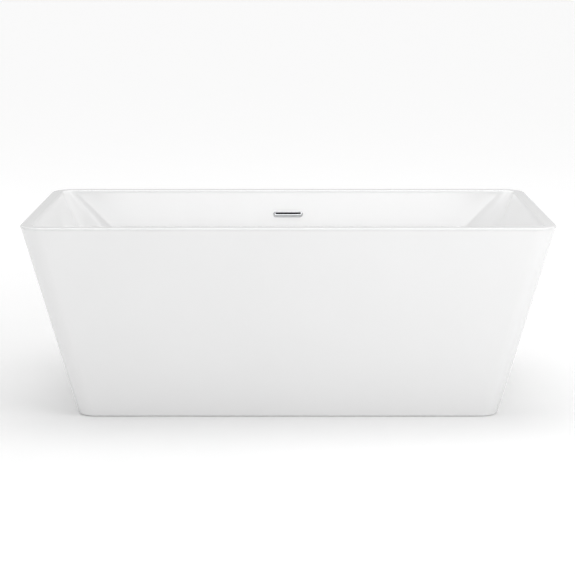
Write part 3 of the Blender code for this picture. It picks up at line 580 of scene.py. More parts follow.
# ---- shells ----
def make_basin(material):
    half_x, half_y = TUB_HALF_X, TUB_HALF_Y
    rings = [tub_ring(half_x, half_y, RIM_CORNER_RADIUS, TUB_HEIGHT - RIM_THICKNESS)]
    for step in range(RIM_STEPS + 1):
        angle = math.pi / 2 * step / RIM_STEPS
        inset = RIM_OUTER_ROUNDING * (1 - math.cos(angle))
        height = TUB_HEIGHT - RIM_OUTER_ROUNDING * (1 - math.sin(angle))
        rings.append(tub_ring(half_x - inset, half_y - inset, RIM_CORNER_RADIUS - inset, height))
    front = basin_rings(0.0)
    seat_level = FLOOR_DRAIN - RECESS_DEPTH
    lip = RECESS_RADIUS + RECESS_LIP
    seat = rounded([(lip, FLOOR_DRAIN), (RECESS_RADIUS, FLOOR_DRAIN),
                    (RECESS_RADIUS - RECESS_SLANT, seat_level), (DRAIN_HOLE, seat_level),
                    (DRAIN_HOLE, seat_level - BASIN_THICKNESS)], RECESS_ROUNDING, 5, False)
    rings += front + floor_rings(front[-1], 0.0, lip)
    back_lip = RECESS_RADIUS + BASIN_THICKNESS
    under = FLOOR_DRAIN - BASIN_THICKNESS
    seat += [(back_lip - RECESS_SLANT, under - RECESS_DEPTH), (back_lip, under)]
    rings += [drain_ring(radius, height) for radius, height in seat]
    back = basin_rings(BASIN_THICKNESS)
    rings += list(reversed(floor_rings(back[-1], BASIN_THICKNESS, back_lip)))
    rings += list(reversed(back[ROLL_STEPS:]))
    basin = loft("acrylic_basin", rings, True, SHELL_SHARP)
    cut_overflow_hole(basin)
    stand_for(basin, "basin_shell", material)


def make_skirt(material):
    top = TUB_HEIGHT - RIM_THICKNESS
    outline = rounded([(0.0, top), (0.0, SKIRT_FOOT), (SKIRT_THICKNESS, SKIRT_FOOT),
                       (SKIRT_THICKNESS, top)], SKIRT_FOOT_ROUNDING, 5)
    rings = [skirt_ring(min(height, top), max(inset, 0.0)) for inset, height in outline]
    stand_in("acrylic_skirt", "outer_skirt", rings, material, sharp=SHELL_SHARP)


def make_skirt_lining(material):
    """Glass fibre laid up inside the skirt, uneven on its free side and along its lower edge."""
    low = SKIRT_FOOT + LINING_MARGIN
    high = TUB_HEIGHT - RIM_THICKNESS - LINING_MARGIN
    inner = SKIRT_THICKNESS + LINING_THICKNESS
    heights = [low + (high - low) * step / LINING_ROWS for step in range(LINING_ROWS + 1)]
    rings = [skirt_ring(height, SKIRT_THICKNESS + LINING_OVERLAP) for height in heights]
    rings += [skirt_ring(height, inner) for height in reversed(heights)]
    lining = loft("skirt_glass_fibre", rings, True, SHELL_SHARP)
    for vertex in lining.data.vertices:
        wave = noise.fractal(vertex.co * LINING_WAVES, *LINING_NOISE)
        if vertex.index >= len(lining.data.vertices) // 2:
            vertex.co -= Vector((vertex.co.x, vertex.co.y, 0)).normalized() * wave * LINING_UNEVEN
        if vertex.co.z < low + LINING_UNEVEN:
            vertex.co.z += LINING_RAGGED * wave
    extra(lining, material)


def make_laminate(material):
    """Laminate behind the basin, thickened to a flat bed under the floor."""
    face = basin_rings(BACKING_INNER)[ROLL_STEPS + 1:]
    back = basin_rings(BACKING_OUTER)[ROLL_STEPS + 1:]
    step_radius = RECESS_RADIUS + BACKING_INNER + GAP
    recess_under = FLOOR_DRAIN - RECESS_DEPTH - BACKING_INNER
    rings = face + floor_rings(face[-1], BACKING_INNER, step_radius)
    for radius, height in ((step_radius, recess_under), (DRAIN_HOLE, recess_under),
                           (DRAIN_HOLE, BACKING_UNDER), (step_radius, BACKING_UNDER)):
        rings.append(drain_ring(radius, height))
    bed = rings[-1]
    for step in range(1, BED_STEPS + 1):
        rings.append(flattened(back[-1], bed, 1 - step / BED_STEPS, BACKING_UNDER))
    rings += list(reversed(back))
    laminate = loft("fibreglass_laminate", rings, True, SHELL_SHARP)
    cut_overflow_hole(laminate)
    stand_for(laminate, "basin_backing", material)


# ---- overflow slot: rings lie in the wall's own axes, with Y into the wall ----
OVERFLOW_DEPTH = 0.083
SLOT_WIDTH = 0.090
SLOT_HEIGHT = 0.006
SLOT_RISE = 0.003
THROAT_WALL = 0.002
THROAT_REACH = 0.024
HOLE_MARGIN = 0.001
HOLE_FRONT = -0.01
HOLE_BACK = 0.02
TRIM_WIDTH = 2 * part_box("overflow_trim")[1].x
TRIM_HEIGHT = 0.021
TRIM_STAND = 0.005
TRIM_CROWN = 0.0022
TRIM_EDGE = 0.0004
TRIM_EDGE_SHARE = 0.04
TRIM_ROLL = 0.0003
TRIM_STEPS = 8
LINER_SETBACK = 0.0004
LINER_GAP = 0.0001
LINER_WALL = 0.0006
OVERFLOW_MIDDLE = Vector((0, TUB_HALF_Y - RIM_WIDTH
                          - OVERFLOW_DEPTH * math.tan(math.radians(SIDE_SLOPE)),
                          TUB_HEIGHT - OVERFLOW_DEPTH))
TO_WALL = (Matrix.Translation(OVERFLOW_MIDDLE)
           @ Matrix.Rotation(-math.radians(SIDE_SLOPE), 4, "X"))


def on_wall(rings):
    """Rings made in the overflow's own axes, moved onto the sloping back wall."""
    return [[TO_WALL @ point for point in ring] for ring in rings]


def slot_ring(width, height, y, rise=0.0):
    """A slot with half-round ends, lying across the wall."""
    radius = height / 2
    ring = []
    for side in (1, -1):
        for step in range(SLOT_STEPS + 1):
            angle = -math.pi / 2 + math.pi * step / SLOT_STEPS
            ring.append(Vector((side * (width / 2 - radius + radius * math.cos(angle)), y,
                                rise + side * radius * math.sin(angle))))
    return ring


def throat_ring(y, grow=0.0):
    """The slot's own outline, grown on every side."""
    return slot_ring(SLOT_WIDTH + 2 * grow, SLOT_HEIGHT + 2 * grow, y, SLOT_RISE)


def cut_overflow_hole(target):
    rings = [throat_ring(y, THROAT_WALL + HOLE_MARGIN) for y in (HOLE_FRONT, HOLE_BACK)]
    combine(target, on_wall(rings), "DIFFERENCE")


def trim_ring(share, y):
    """A ring of the trim's face: share 0 is the plate's outline, 1 the slot's rolled edge."""
    slot_w = SLOT_WIDTH + 2 * TRIM_ROLL
    slot_h = SLOT_HEIGHT + 2 * TRIM_ROLL
    return slot_ring(TRIM_WIDTH + (slot_w - TRIM_WIDTH) * share,
                     TRIM_HEIGHT + (slot_h - TRIM_HEIGHT) * share, y, SLOT_RISE * share)


def make_trim(material):
    """Chrome slot trim: a crowned plate that falls away from its slot, and the slot's throat."""
    rings = [trim_ring(0.0, -GAP), trim_ring(0.0, TRIM_CROWN - TRIM_STAND + TRIM_EDGE)]
    for step in range(TRIM_STEPS + 1):
        share = TRIM_EDGE_SHARE + (1 - TRIM_EDGE_SHARE) * step / TRIM_STEPS
        rings.append(trim_ring(share, TRIM_CROWN * (1 - share) ** 2 - TRIM_STAND))
    for step in range(1, TRIM_STEPS + 1):
        angle = math.pi / 2 * step / TRIM_STEPS
        rings.append(throat_ring(TRIM_ROLL * (1 - math.cos(angle)) - TRIM_STAND,
                                 TRIM_ROLL * (1 - math.sin(angle))))
    rings += [throat_ring(THROAT_REACH), throat_ring(THROAT_REACH, THROAT_WALL),
              throat_ring(-GAP, THROAT_WALL)]
    stand_in("chrome_overflow_trim", "overflow_trim", on_wall(rings), material)


def make_painted_throat_shade(material):
    """Painted shade: a near-black sleeve in the trim's throat that makes the slot dark."""
    front = -TRIM_STAND + LINER_SETBACK
    back = THROAT_REACH - LINER_SETBACK
    rings = [throat_ring(front, -LINER_GAP), throat_ring(back, -LINER_GAP),
             throat_ring(back, -LINER_WALL), throat_ring(front, -LINER_WALL)]
    extra(loft("overflow_painted_throat_shade", on_wall(rings), True), material)


# ---- shapes shared by the fittings ----
HEX_FACE = 0.83
HEX_EDGE = 0.0006
HEX_SPARE = 0.001
NUT_LIP = 0.06
THREAD_ROWS = 6
THREAD_FLANK = 1.5
THREAD_FLAT = 0.25
GRIP_EDGE = 0.0015
GRIP_LIP = 0.0008


def turned_piece(name, node, outline, material, looped=True, bevel=0.0005):
    """A piece turned about the upright line through its CAD node's middle."""
    middle = node_middle(node)
    rings = turned_rings(rounded(outline, bevel, 4, looped))
    stand_in(name, node, placed(rings, Vector((middle.x, middle.y, 0))), material, looped)


def tube_outline(bore, radius, bottom, top):
    return [(radius, bottom), (radius, top), (bore, top), (bore, bottom)]


def shaped_ring(radius_at, height, segments=ROUND):
    """A ring whose radius is worked out for each angle."""
    ring = []
    for step in range(segments):
        angle = 2 * math.pi * step / segments
        radius = radius_at(angle)
        ring.append(Vector((radius * math.cos(angle), radius * math.sin(angle), height)))
    return ring


def thread_radius(radius, depth, pitch, height, angle):
    """Radius of a 60 degree screw thread with flats, at a height and an angle."""
    phase = (height / pitch - angle / (2 * math.pi)) % 1.0
    flank = min(max(abs(2 * phase - 1) * THREAD_FLANK - THREAD_FLAT, 0.0), 1.0)
    return radius - depth * flank


def grip_rings(bore, radius, low, high, ribs=14, depth=0.0016):
    """A slip nut: a ring with rounded finger ribs round its outside."""
    def wavy(share, height):
        reduced = radius - GRIP_EDGE * share
        return shaped_ring(
            lambda a: reduced - depth * (0.5 - 0.5 * math.cos(ribs * a)) ** 2, height)

    rings = []
    for end, way in ((low, 1), (high, -1)):
        edge = [wavy(share, end + way * GRIP_EDGE * rise)
                for share, rise in ((1, 0), (0.3, 0.3), (0, 1))]
        rings += edge[::way]
    lips = ((GRIP_LIP, high), (0, high - GRIP_LIP), (0, low + GRIP_LIP), (GRIP_LIP, low))
    return rings + [circle(bore + grow, height) for grow, height in lips]


def round_box_ring(half_a, half_b, radius, along, axis, centre):
    """A rounded rectangle square to X or Y, for rails and arms."""
    return [Vector((along, centre[1] + a, centre[2] + b)) if axis == "X"
            else Vector((centre[0] + a, along, centre[2] + b))
            for a, b, _ in box_outline(half_a, half_b, radius, RAIL_STEPS)]


def hex_block(name, radius, low, high):
    """A hexagonal block with its corners turned off at 30 degrees; radius is that of its corners."""
    outline = rounded([corner.xy for corner in circle(radius, 0, 6)], HEX_EDGE, 3)
    block = loft(name, [[Vector((x, y, height)) for x, y in outline] for height in (low, high)])
    slant = math.tan(math.radians(30))
    inner = radius * HEX_FACE - HEX_SPARE / slant
    outer = radius + HEX_SPARE
    drop = (outer - radius * HEX_FACE) * slant
    cone = [(inner, low - HEX_SPARE), (outer, low + drop), (outer, high - drop),
            (inner, high + HEX_SPARE)]
    return combine(block, turned_rings(cone), "INTERSECT")


def make_nut(name, bore, radius, low, high):
    lip = bore * NUT_LIP
    hole = [(bore + 2 * lip, low - lip), (bore, low + lip), (bore, high - lip),
            (bore + 2 * lip, high + lip)]
    return combine(hex_block(name, radius, low, high), turned_rings(hole), "DIFFERENCE")


# ---- waste fitting and stopper ----
FLANGE_THICKNESS = 0.003
FLANGE_RADIUS = 0.036
FLANGE_EDGE = 0.0012
FLANGE_SLANT = 0.0025
FLANGE_MOUTH = 0.0015
FLANGE_MOUTH_DROP = 0.0018
TAIL_BORE = 0.0205
TAIL_RADIUS = 0.0245
CROSS_LOW = 0.104
CROSS_HIGH = 0.110
HUB_RADIUS = 0.0075
HUB_SEGMENTS = 48
ARM_HALF_WIDTH = 0.0015
ARM_HALF_HEIGHT = 0.0022
ARM_ROUNDING = 0.0007
STUD_RADIUS = 0.0038
WASTE_THREAD_PITCH = 0.0023
WASTE_THREAD_DEPTH = 0.0010
THREAD_RUNOUT = 0.002
STOPPER_CROWN = 0.0030
STOPPER_EDGE = 0.0012
STOPPER_SHOULDER = 0.0010
SHOULDER_STEPS = 7
SHOULDER_TURN = 70
STOPPER_DOME_STEPS = 16
STOPPER_SEAL_BORE = 0.0225
TAIL_SEAL_BORE = 0.0248
BRASS_BEVEL = 0.0003
GROOVE_FOOT = 0.006
GROOVE_FLOOR = 0.002
CARTRIDGE_BORE = 0.0046
CARTRIDGE_FLOOR = 0.002
STUD_BEVEL = 0.0004
SPRING_WIRE = 0.0005
SPRING_RADIUS = 0.0033
SPRING_TURNS = 7
SPRING_STEPS = 24
SPRING_SEGMENTS = 10


def make_flange(chrome):
    """Waste body: polished flange, threaded tail and a four-armed cross with a hub."""
    top = FLANGE_HIGH.z
    under = top - FLANGE_THICKNESS
    face = rounded([(TAIL_RADIUS, under), (FLANGE_RADIUS, under), (FLANGE_RADIUS, top - FLANGE_EDGE),
                    (FLANGE_RADIUS - FLANGE_SLANT, top), (TAIL_BORE + FLANGE_MOUTH, top),
                    (TAIL_BORE, top - FLANGE_MOUTH_DROP), (TAIL_BORE, FLANGE_LOW.z)],
                   0.0007, 5, False)
    rings = turned_rings(face)
    rings.append(circle(TAIL_RADIUS - WASTE_THREAD_DEPTH, FLANGE_LOW.z))
    rise = WASTE_THREAD_PITCH / THREAD_ROWS
    for row in range(1, int((under - THREAD_RUNOUT - FLANGE_LOW.z) / rise)):
        height = FLANGE_LOW.z + row * rise
        rings.append(shaped_ring(lambda a, h=height: thread_radius(
            TAIL_RADIUS, WASTE_THREAD_DEPTH, WASTE_THREAD_PITCH, h, a), height))
    flange = loft("waste_flange", rings, True)
    reach = (TAIL_BORE + TAIL_RADIUS) / 2 - WASTE_THREAD_DEPTH / 2
    middle = (0, 0, (CROSS_LOW + CROSS_HIGH) / 2)
    for axis in ("X", "Y"):
        arm = [round_box_ring(ARM_HALF_WIDTH, ARM_HALF_HEIGHT, ARM_ROUNDING, at, axis, middle)
               for at in (-reach, reach)]
        combine(flange, arm, "UNION")
    hub = rounded([(0.0, CROSS_LOW), (HUB_RADIUS, CROSS_LOW), (HUB_RADIUS, CROSS_HIGH),
                   (0.0, CROSS_HIGH)], 0.0008, 4, False)
    combine(flange, turned_rings(hub, HUB_SEGMENTS), "UNION")
    bore = [circle(STUD_RADIUS + GAP, z, HUB_SEGMENTS) for z in (FLANGE_LOW.z, FLANGE_HIGH.z)]
    combine(flange, bore, "DIFFERENCE")
    stand_for(flange, "drain_flange", chrome)


def grooved(radius, depth, slant, low, high):
    """The outside of a brass part with one turned groove, from low up to high."""
    start = low + GROOVE_FOOT
    end = start + GROOVE_FLOOR + 2 * slant
    return [(radius, low), (radius, start), (radius - depth, start + slant),
            (radius - depth, end - slant), (radius, end), (radius, high)]


def make_stopper(chrome, rubber, brass):
    low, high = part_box("stopper_cap")
    radius = high.x
    side = high.z - STOPPER_CROWN
    outline = rounded([(0.0, low.z), (radius - STOPPER_EDGE, low.z), (radius, low.z + STOPPER_EDGE),
                       (radius, side)], 0.0005, 4, False)[:-1]
    for step in range(SHOULDER_STEPS + 1):
        angle = math.radians(SHOULDER_TURN * step / SHOULDER_STEPS)
        outline.append((radius - STOPPER_SHOULDER * (1 - math.cos(angle)),
                        side + STOPPER_SHOULDER * math.sin(angle)))
    edge_r, edge_z = outline[-1]
    for step in range(1, STOPPER_DOME_STEPS + 1):
        share = 1 - step / STOPPER_DOME_STEPS
        outline.append((edge_r * share, edge_z + (high.z - edge_z) * (1 - share ** 2)))
    stand_in("stopper_dome", "stopper_cap", turned_rings(outline), chrome, False)
    for name, node, bore in (("stopper_seal_ring", "stopper_seal", STOPPER_SEAL_BORE),
                             ("waste_seal_ring", "drain_seal", TAIL_SEAL_BORE),
                             ("waste_washer", "drain_washer", TAIL_SEAL_BORE)):
        low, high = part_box(node)
        turned_piece(name, node, tube_outline(bore, high.x, low.z, high.z), rubber)
    low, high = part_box("click_plunger")
    outline = grooved(high.x, 0.0007, 0.0005, low.z, high.z)
    turned_piece("stopper_plunger", "click_plunger",
                 [(0.0, low.z), *outline, (0.0, high.z)], brass, False, BRASS_BEVEL)


def make_cartridge(brass, steel):
    low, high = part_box("click_cartridge")
    body = CROSS_HIGH + GAP
    pocket = body + CARTRIDGE_FLOOR
    outline = [(0.0, low.z), (STUD_RADIUS - STUD_BEVEL, low.z), (STUD_RADIUS, low.z + STUD_BEVEL),
               (STUD_RADIUS, body), *grooved(high.x, 0.0008, 0.0006, body, high.z),
               (CARTRIDGE_BORE, high.z), (CARTRIDGE_BORE, pocket), (0.0, pocket)]
    turned_piece("click_cartridge_body", "click_cartridge", outline, brass, False, BRASS_BEVEL)
    low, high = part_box("click_spring")
    steps = SPRING_TURNS * SPRING_STEPS
    rings = []
    for step in range(steps + 1):
        share = step / steps
        angle = 2 * math.pi * SPRING_TURNS * share
        lift = share - math.sin(2 * math.pi * share) / (2 * math.pi)
        outward = Vector((math.cos(angle), math.sin(angle), 0))
        centre = outward * SPRING_RADIUS
        centre.z = low.z + SPRING_WIRE + (high.z - low.z - 2 * SPRING_WIRE) * lift
        rings.append(around(centre, outward * SPRING_WIRE, Vector((0, 0, SPRING_WIRE)),
                            SPRING_SEGMENTS))
    spring = dress(loft("click_spring_coil", rings, False, WIRE_SHARP), steel)
    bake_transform(spring)
    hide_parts("click_spring")


def make_locknut(brass):
    low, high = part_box("drain_locknut")
    nut = make_nut("waste_locknut", TAIL_RADIUS + GAP, high.x, low.z, high.z)
    stand_for(nut, "drain_locknut", brass)


# ---- board, frame and brackets ----
BOARD_HOLE = 0.045
BOARD_BEVEL = 0.0012
BOARD_CORNER = 0.006
RAIL_ROUNDING = 0.0025
RAIL_WALL = 0.002
RAIL_LIP = 0.0004
WELD_SIZE = 0.0022
WELD_PITCH = 0.0022
WELD_RIPPLE = 0.20
WELD_FLATNESS = 0.7
WELD_END = 0.25
WELD_TAPER = 10
WELD_SEGMENTS = 12
SLEEVE_WELD = 0.0026
SLEEVE_WELD_AWAY = 0.0075
SLEEVE_WELD_INSET = 0.003
STRIP_THICKNESS = 0.003
STRIP_OUTER_FOLD = 0.005
STRIP_INNER_FOLD = 0.002
STRIP_BEVEL = 0.0004
STRIP_WELD_INSET = 0.002
PATCH_HALF_WIDTH = 0.036
PATCH_HALF_HEIGHT = 0.026
PATCH_RISE = 0.024
PATCH_POINTS = 64
# how far the resin patch stands off the skirt, and its share of the full size there
PATCH_DOME = ((0.0, 1.00), (0.0025, 0.98), (0.0050, 0.90), (0.0064, 0.70), (0.0070, 0.35),
              (0.0071, 0.02))


def make_board(board):
    low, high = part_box("base_board")
    rings = []
    for inset, height in ((BOARD_BEVEL, low.z), (0, low.z + BOARD_BEVEL), (0, high.z - BOARD_BEVEL),
                          (BOARD_BEVEL, high.z)):
        rings.append(tub_ring(high.x - inset, high.y - inset, BOARD_CORNER - inset, height))
    lip = BOARD_BEVEL / 2
    for grow, height in ((lip, high.z), (0, high.z - lip), (0, low.z + lip), (lip, low.z)):
        rings.append(drain_ring(BOARD_HOLE + grow, height))
    stand_in("particle_board", "base_board", rings, board)


def make_rail(node, axis, steel):
    """A square tube with rounded edges and deburred ends."""
    low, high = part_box(node)
    half = (high.z - low.z) / 2
    start, end = (low.x, high.x) if axis == "X" else (low.y, high.y)
    bore = half - RAIL_WALL
    outside = ((start, RAIL_LIP), (start + RAIL_LIP, 0), (end - RAIL_LIP, 0), (end, RAIL_LIP))
    stations = [(half - lip, RAIL_ROUNDING - lip, at) for at, lip in outside]
    stations += [(bore + lip / 2, (RAIL_ROUNDING + lip) / 2, at) for at, lip in reversed(outside)]
    rings = [round_box_ring(size, size, radius, at, axis, node_middle(node))
             for size, radius, at in stations]
    stand_in("steel_" + node, node, rings, steel)


def weld_bead(name, start, end, normal, weld, size=WELD_SIZE):
    """A run of overlapping weld ripples along a joint."""
    run = Vector(end) - Vector(start)
    across = run.normalized().cross(Vector(normal)).normalized()
    ripples = max(3, int(run.length / WELD_PITCH))
    rings = []
    steps = 4 * ripples
    for step in range(steps + 1):
        share = step / steps
        swell = 1 - WELD_RIPPLE + WELD_RIPPLE * abs(math.sin(math.pi * ripples * share))
        taper = min(1.0, WELD_TAPER * min(share, 1 - share) + WELD_END)
        reach = size * swell * taper
        rings.append(around(Vector(start) + run * share, across * reach,
                            Vector(normal) * WELD_FLATNESS * reach, WELD_SEGMENTS))
    extra(loft(name, rings, False, WIRE_SHARP), weld)


def make_frame(steel, weld):
    for side in ("front", "back"):
        make_rail("frame_rail_" + side, "X", steel)
    for label in ("left", "mid_left", "mid_right", "right"):
        node = "frame_cross_" + label
        make_rail(node, "Y", steel)
        low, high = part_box(node)
        for end, y in (("front", low.y), ("back", high.y)):
            for face, z, up in (("under", low.z, -1), ("over", high.z, 1)):
                weld_bead(f"weld_{label}_{end}_{face}", (low.x + RAIL_ROUNDING, y, z),
                          (high.x - RAIL_ROUNDING, y, z), (0, 0, up), weld)


def bracket_outline(start, face, lean, low, upstand):
    """The folded strip in section, with a rounded fold."""
    reach = face + lean * upstand
    top = low + upstand
    fold = [((start, low), STRIP_BEVEL), ((face, low), STRIP_OUTER_FOLD),
            ((reach, top), STRIP_BEVEL), ((reach - STRIP_THICKNESS, top), STRIP_BEVEL),
            ((face - STRIP_THICKNESS, low + STRIP_THICKNESS), STRIP_INNER_FOLD),
            ((start, low + STRIP_THICKNESS), STRIP_BEVEL)]
    outline = []
    for index, (corner, radius) in enumerate(fold):
        trio = [fold[index - 1][0], corner, fold[(index + 1) % len(fold)][0]]
        outline += rounded(trio, radius, 5, False)[1:-1]
    return outline


def wobbly(angle, half, wave, turn):
    """Reach of the patch's squarish outline, with an uneven edge."""
    return half * wave * math.copysign(abs(turn(angle)) ** 0.7, turn(angle))


def make_bracket(node, axis, laminate, steel, weld):
    """A folded strip from the rail to the skirt's foot, and the resin patch that holds it there."""
    low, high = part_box(node)
    middle = (low + high) / 2
    along_x = axis == "X"
    sign = math.copysign(1, middle.x if along_x else middle.y)
    lean = LEAN_X if along_x else LEAN_Y
    start, far = sorted(abs(reach) for reach in ((low.x, high.x) if along_x else (low.y, high.y)))
    face = far - lean * (high.z - low.z)
    width = ((high.y - low.y) if along_x else (high.x - low.x)) / 2

    def place(reach, across, height):
        return (Vector((sign * reach, middle.y + across, height)) if along_x
                else Vector((middle.x + across, sign * reach, height)))

    outline = bracket_outline(start, face, lean, low.z, high.z - low.z)
    rings = [[place(reach, side, height) for reach, height in outline] for side in (-width, width)]
    stand_in("folded_" + node, node, rings, steel, False)
    edge = width - STRIP_WELD_INSET
    weld_bead("weld_" + node, place(start, -edge, low.z), place(start, edge, low.z), (0, 0, -1), weld)
    rings = []
    for lift, share in PATCH_DOME:
        ring = []
        for step in range(PATCH_POINTS):
            angle = 2 * math.pi * step / PATCH_POINTS
            wave = share * (1 + 0.06 * math.sin(3 * angle + middle.x * 9)
                            + 0.04 * math.sin(5 * angle + middle.y * 7))
            rise = PATCH_RISE + wobbly(angle, PATCH_HALF_HEIGHT, wave, math.sin)
            ring.append(place(face + lean * rise + GAP / 2 - lift,
                              wobbly(angle, PATCH_HALF_WIDTH, wave, math.cos), low.z + rise))
        rings.append(ring)
    extra(loft("resin_patch_" + node, rings, False, WIRE_SHARP), laminate)


def make_brackets(laminate, steel, weld):
    for node in sorted(frame["nodes"]):
        if node.startswith("skirt_bracket"):
            axis = "X" if abs(node_middle(node).x) > 0.5 else "Y"
            make_bracket(node, axis, laminate, steel, weld)


# ---- levelling feet ----
ROD_RADIUS = 0.006
ROD_BEVEL = 0.0010
ROD_THREAD_DEPTH = 0.0009
ROD_HEX_RADIUS = 0.011
ROD_HEX_LOW = 0.0213
ROD_HEX_HEIGHT = 0.008
ROD_RELIEF = 0.003
ROD_SEGMENTS = 36
FOOT_BORE = 0.0063
SOLE_GROOVES = (0.0075, 0.0125, 0.0175)
SOLE_GROOVE_SIZE = (0.0016, 0.0012)
PAD_RADIUS = 0.0250
PAD_SOCKET = 0.005
PAD_RIBS = 8
PAD_SEGMENTS = 72
RIB_HALF = 0.0009
RIB_FOOT = 0.0062


def rod_rings(low, high):
    """M12 rod: a smooth foot, then a real helical thread to a chamfered tip."""
    start = ROD_HEX_LOW + ROD_HEX_HEIGHT
    core = ROD_RADIUS - ROD_THREAD_DEPTH
    foot = [(ROD_RADIUS - ROD_BEVEL, low), (ROD_RADIUS, low + ROD_BEVEL),
            (ROD_RADIUS, start - 0.0020), (core, start)]
    rings = turned_rings(foot, ROD_SEGMENTS)
    rows = int((high - start) / THREAD_PITCH * THREAD_ROWS)
    for row in range(1, rows + 1):
        height = start + (high - start) * row / rows
        limit = min(ROD_RADIUS - ROD_THREAD_DEPTH * 0.9 + high - height,
                    core + max(height - start - ROD_RELIEF, 0))
        rings.append(shaped_ring(lambda a, h=height, m=limit: min(
            m, thread_radius(ROD_RADIUS, ROD_THREAD_DEPTH, THREAD_PITCH, h, a)),
            height, ROD_SEGMENTS))
    return rings


def pad_skins(low, high):
    """Rubber foot: grooved sole, domed top, boss with a socket, and stiffening ribs."""
    width, depth = SOLE_GROOVE_SIZE
    sole = []
    for radius in SOLE_GROOVES:
        sole += [(radius, low), (radius, low + depth), (radius + width, low + depth),
                 (radius + width, low)]
    rim = rounded([(PAD_RADIUS - 0.0020, low), (PAD_RADIUS, low + 0.0018), (PAD_RADIUS, low + 0.0055),
                   (0.0225, low + 0.0078), (0.0150, low + 0.0090), (0.0122, low + 0.0100),
                   (0.0118, high - 0.0006), (0.0110, high), (FOOT_BORE, high),
                   (FOOT_BORE, low + PAD_SOCKET)], 0.0006, 4, False)
    outline = [(0.0, low)] + sole + rim + [(0.0, low + PAD_SOCKET)]
    skins = [(turned_rings(outline, PAD_SEGMENTS), False)]
    for number in range(PAD_RIBS):
        spin = Matrix.Rotation(2 * math.pi * number / PAD_RIBS, 3, "Z")
        rings = []
        for reach, top in ((0.0105, 0.0185), (0.0150, 0.0140), (0.0190, 0.0098), (0.0225, 0.0070)):
            ring = [(RIB_HALF, RIB_FOOT), (RIB_HALF, top - RIB_HALF), (RIB_HALF / 2, top),
                    (-RIB_HALF / 2, top), (-RIB_HALF, top - RIB_HALF), (-RIB_HALF, RIB_FOOT)]
            rings.append([spin @ Vector((reach, a, low + b)) for a, b in ring])
        skins.append((rings, False))
    return skins


def make_feet(rubber, zinc, steel, weld):
    for label in ("front_left", "back_left", "front_right", "back_right"):
        middle = node_middle("foot_pad_" + label)
        shift = Matrix.Translation((middle.x, middle.y, 0))
        low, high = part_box("foot_pad_" + label)
        pad = merge("rubber_foot_" + label, pad_skins(low.z, high.z))
        low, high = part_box("foot_rod_" + label)
        rod = loft("threaded_rod_" + label, rod_rings(low.z, high.z))
        collar = hex_block("collar", ROD_HEX_RADIUS, ROD_HEX_LOW, ROD_HEX_LOW + ROD_HEX_HEIGHT)
        combine(rod, collar, "UNION")
        low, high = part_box("foot_nut_" + label)
        nut = make_nut("levelling_nut_" + label, FOOT_BORE, ROD_HEX_RADIUS, low.z, high.z)
        for piece, node, material in ((pad, "foot_pad_", rubber), (rod, "foot_rod_", zinc),
                                      (nut, "foot_nut_", zinc)):
            piece.data.transform(shift)
            stand_for(piece, node + label, material)
        low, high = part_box("foot_sleeve_" + label)
        turned_piece("welded_sleeve_" + label, "foot_sleeve_" + label,
                     tube_outline(FOOT_BORE, (high.x - low.x) / 2, low.z, high.z), steel)
        inner = low.y if middle.y > 0 else high.y
        for side, way in (("left", -1), ("right", 1)):
            x = middle.x + way * SLEEVE_WELD_AWAY
            weld_bead(f"weld_sleeve_{label}_{side}", (x, inner, low.z + SLEEVE_WELD_INSET),
                      (x, inner, high.z - SLEEVE_WELD_INSET), (way, 0, 0), weld, SLEEVE_WELD)


# ---- pipework ----
PIPE_RADIUS = 0.011
PIPE_BORE = 0.0093
PIPE_BEVEL = 0.0005
SOCKET_RADIUS = 0.0138
SOCKET_BEAD = 0.0010
PIPE_TO_SKIRT = 0.0165
BEND_RADIUS = 0.020
BEND_STEPS = 16
SOCKET_DEPTH = 0.018
# (distance from the mouth, how much less than the socket's radius)
ELBOW_COLLAR = ((0.0, 0.0006), (0.0006, 0.0), (0.0100, 0.0), (0.0115, SOCKET_BEAD))
PIPE_SEGMENTS = 64
ELBOW_SEGMENTS = 48
TAIL_PIPE_RADIUS = 0.020
TAIL_PIPE_BORE = 0.0178
TEE_LEDGE = 0.076
BRANCH_HEIGHT = node_middle("branch_pipe").z
PIPE_RISE = Vector((0, LEAN_Y, 1)).normalized()


def pipe_place(height):
    """The overflow pipe's middle at a height, beside the leaning back of the skirt."""
    face = BASE_HALF_Y + LEAN_Y * (height - SKIRT_FOOT) - SKIRT_THICKNESS
    return Vector((0, face - PIPE_TO_SKIRT, height))


def pipe_rings(start, end, profile):
    """Rings along a straight line from (radius, distance) pairs."""
    return placed(turned_rings(profile, PIPE_SEGMENTS), start, (end - start).normalized())


def tube_piece(name, node, start, end, material):
    length = (end - start).length
    profile = rounded(tube_outline(PIPE_BORE, PIPE_RADIUS, 0.0, length), PIPE_BEVEL, 3)
    stand_in(name, node, pipe_rings(start, end, profile), material)


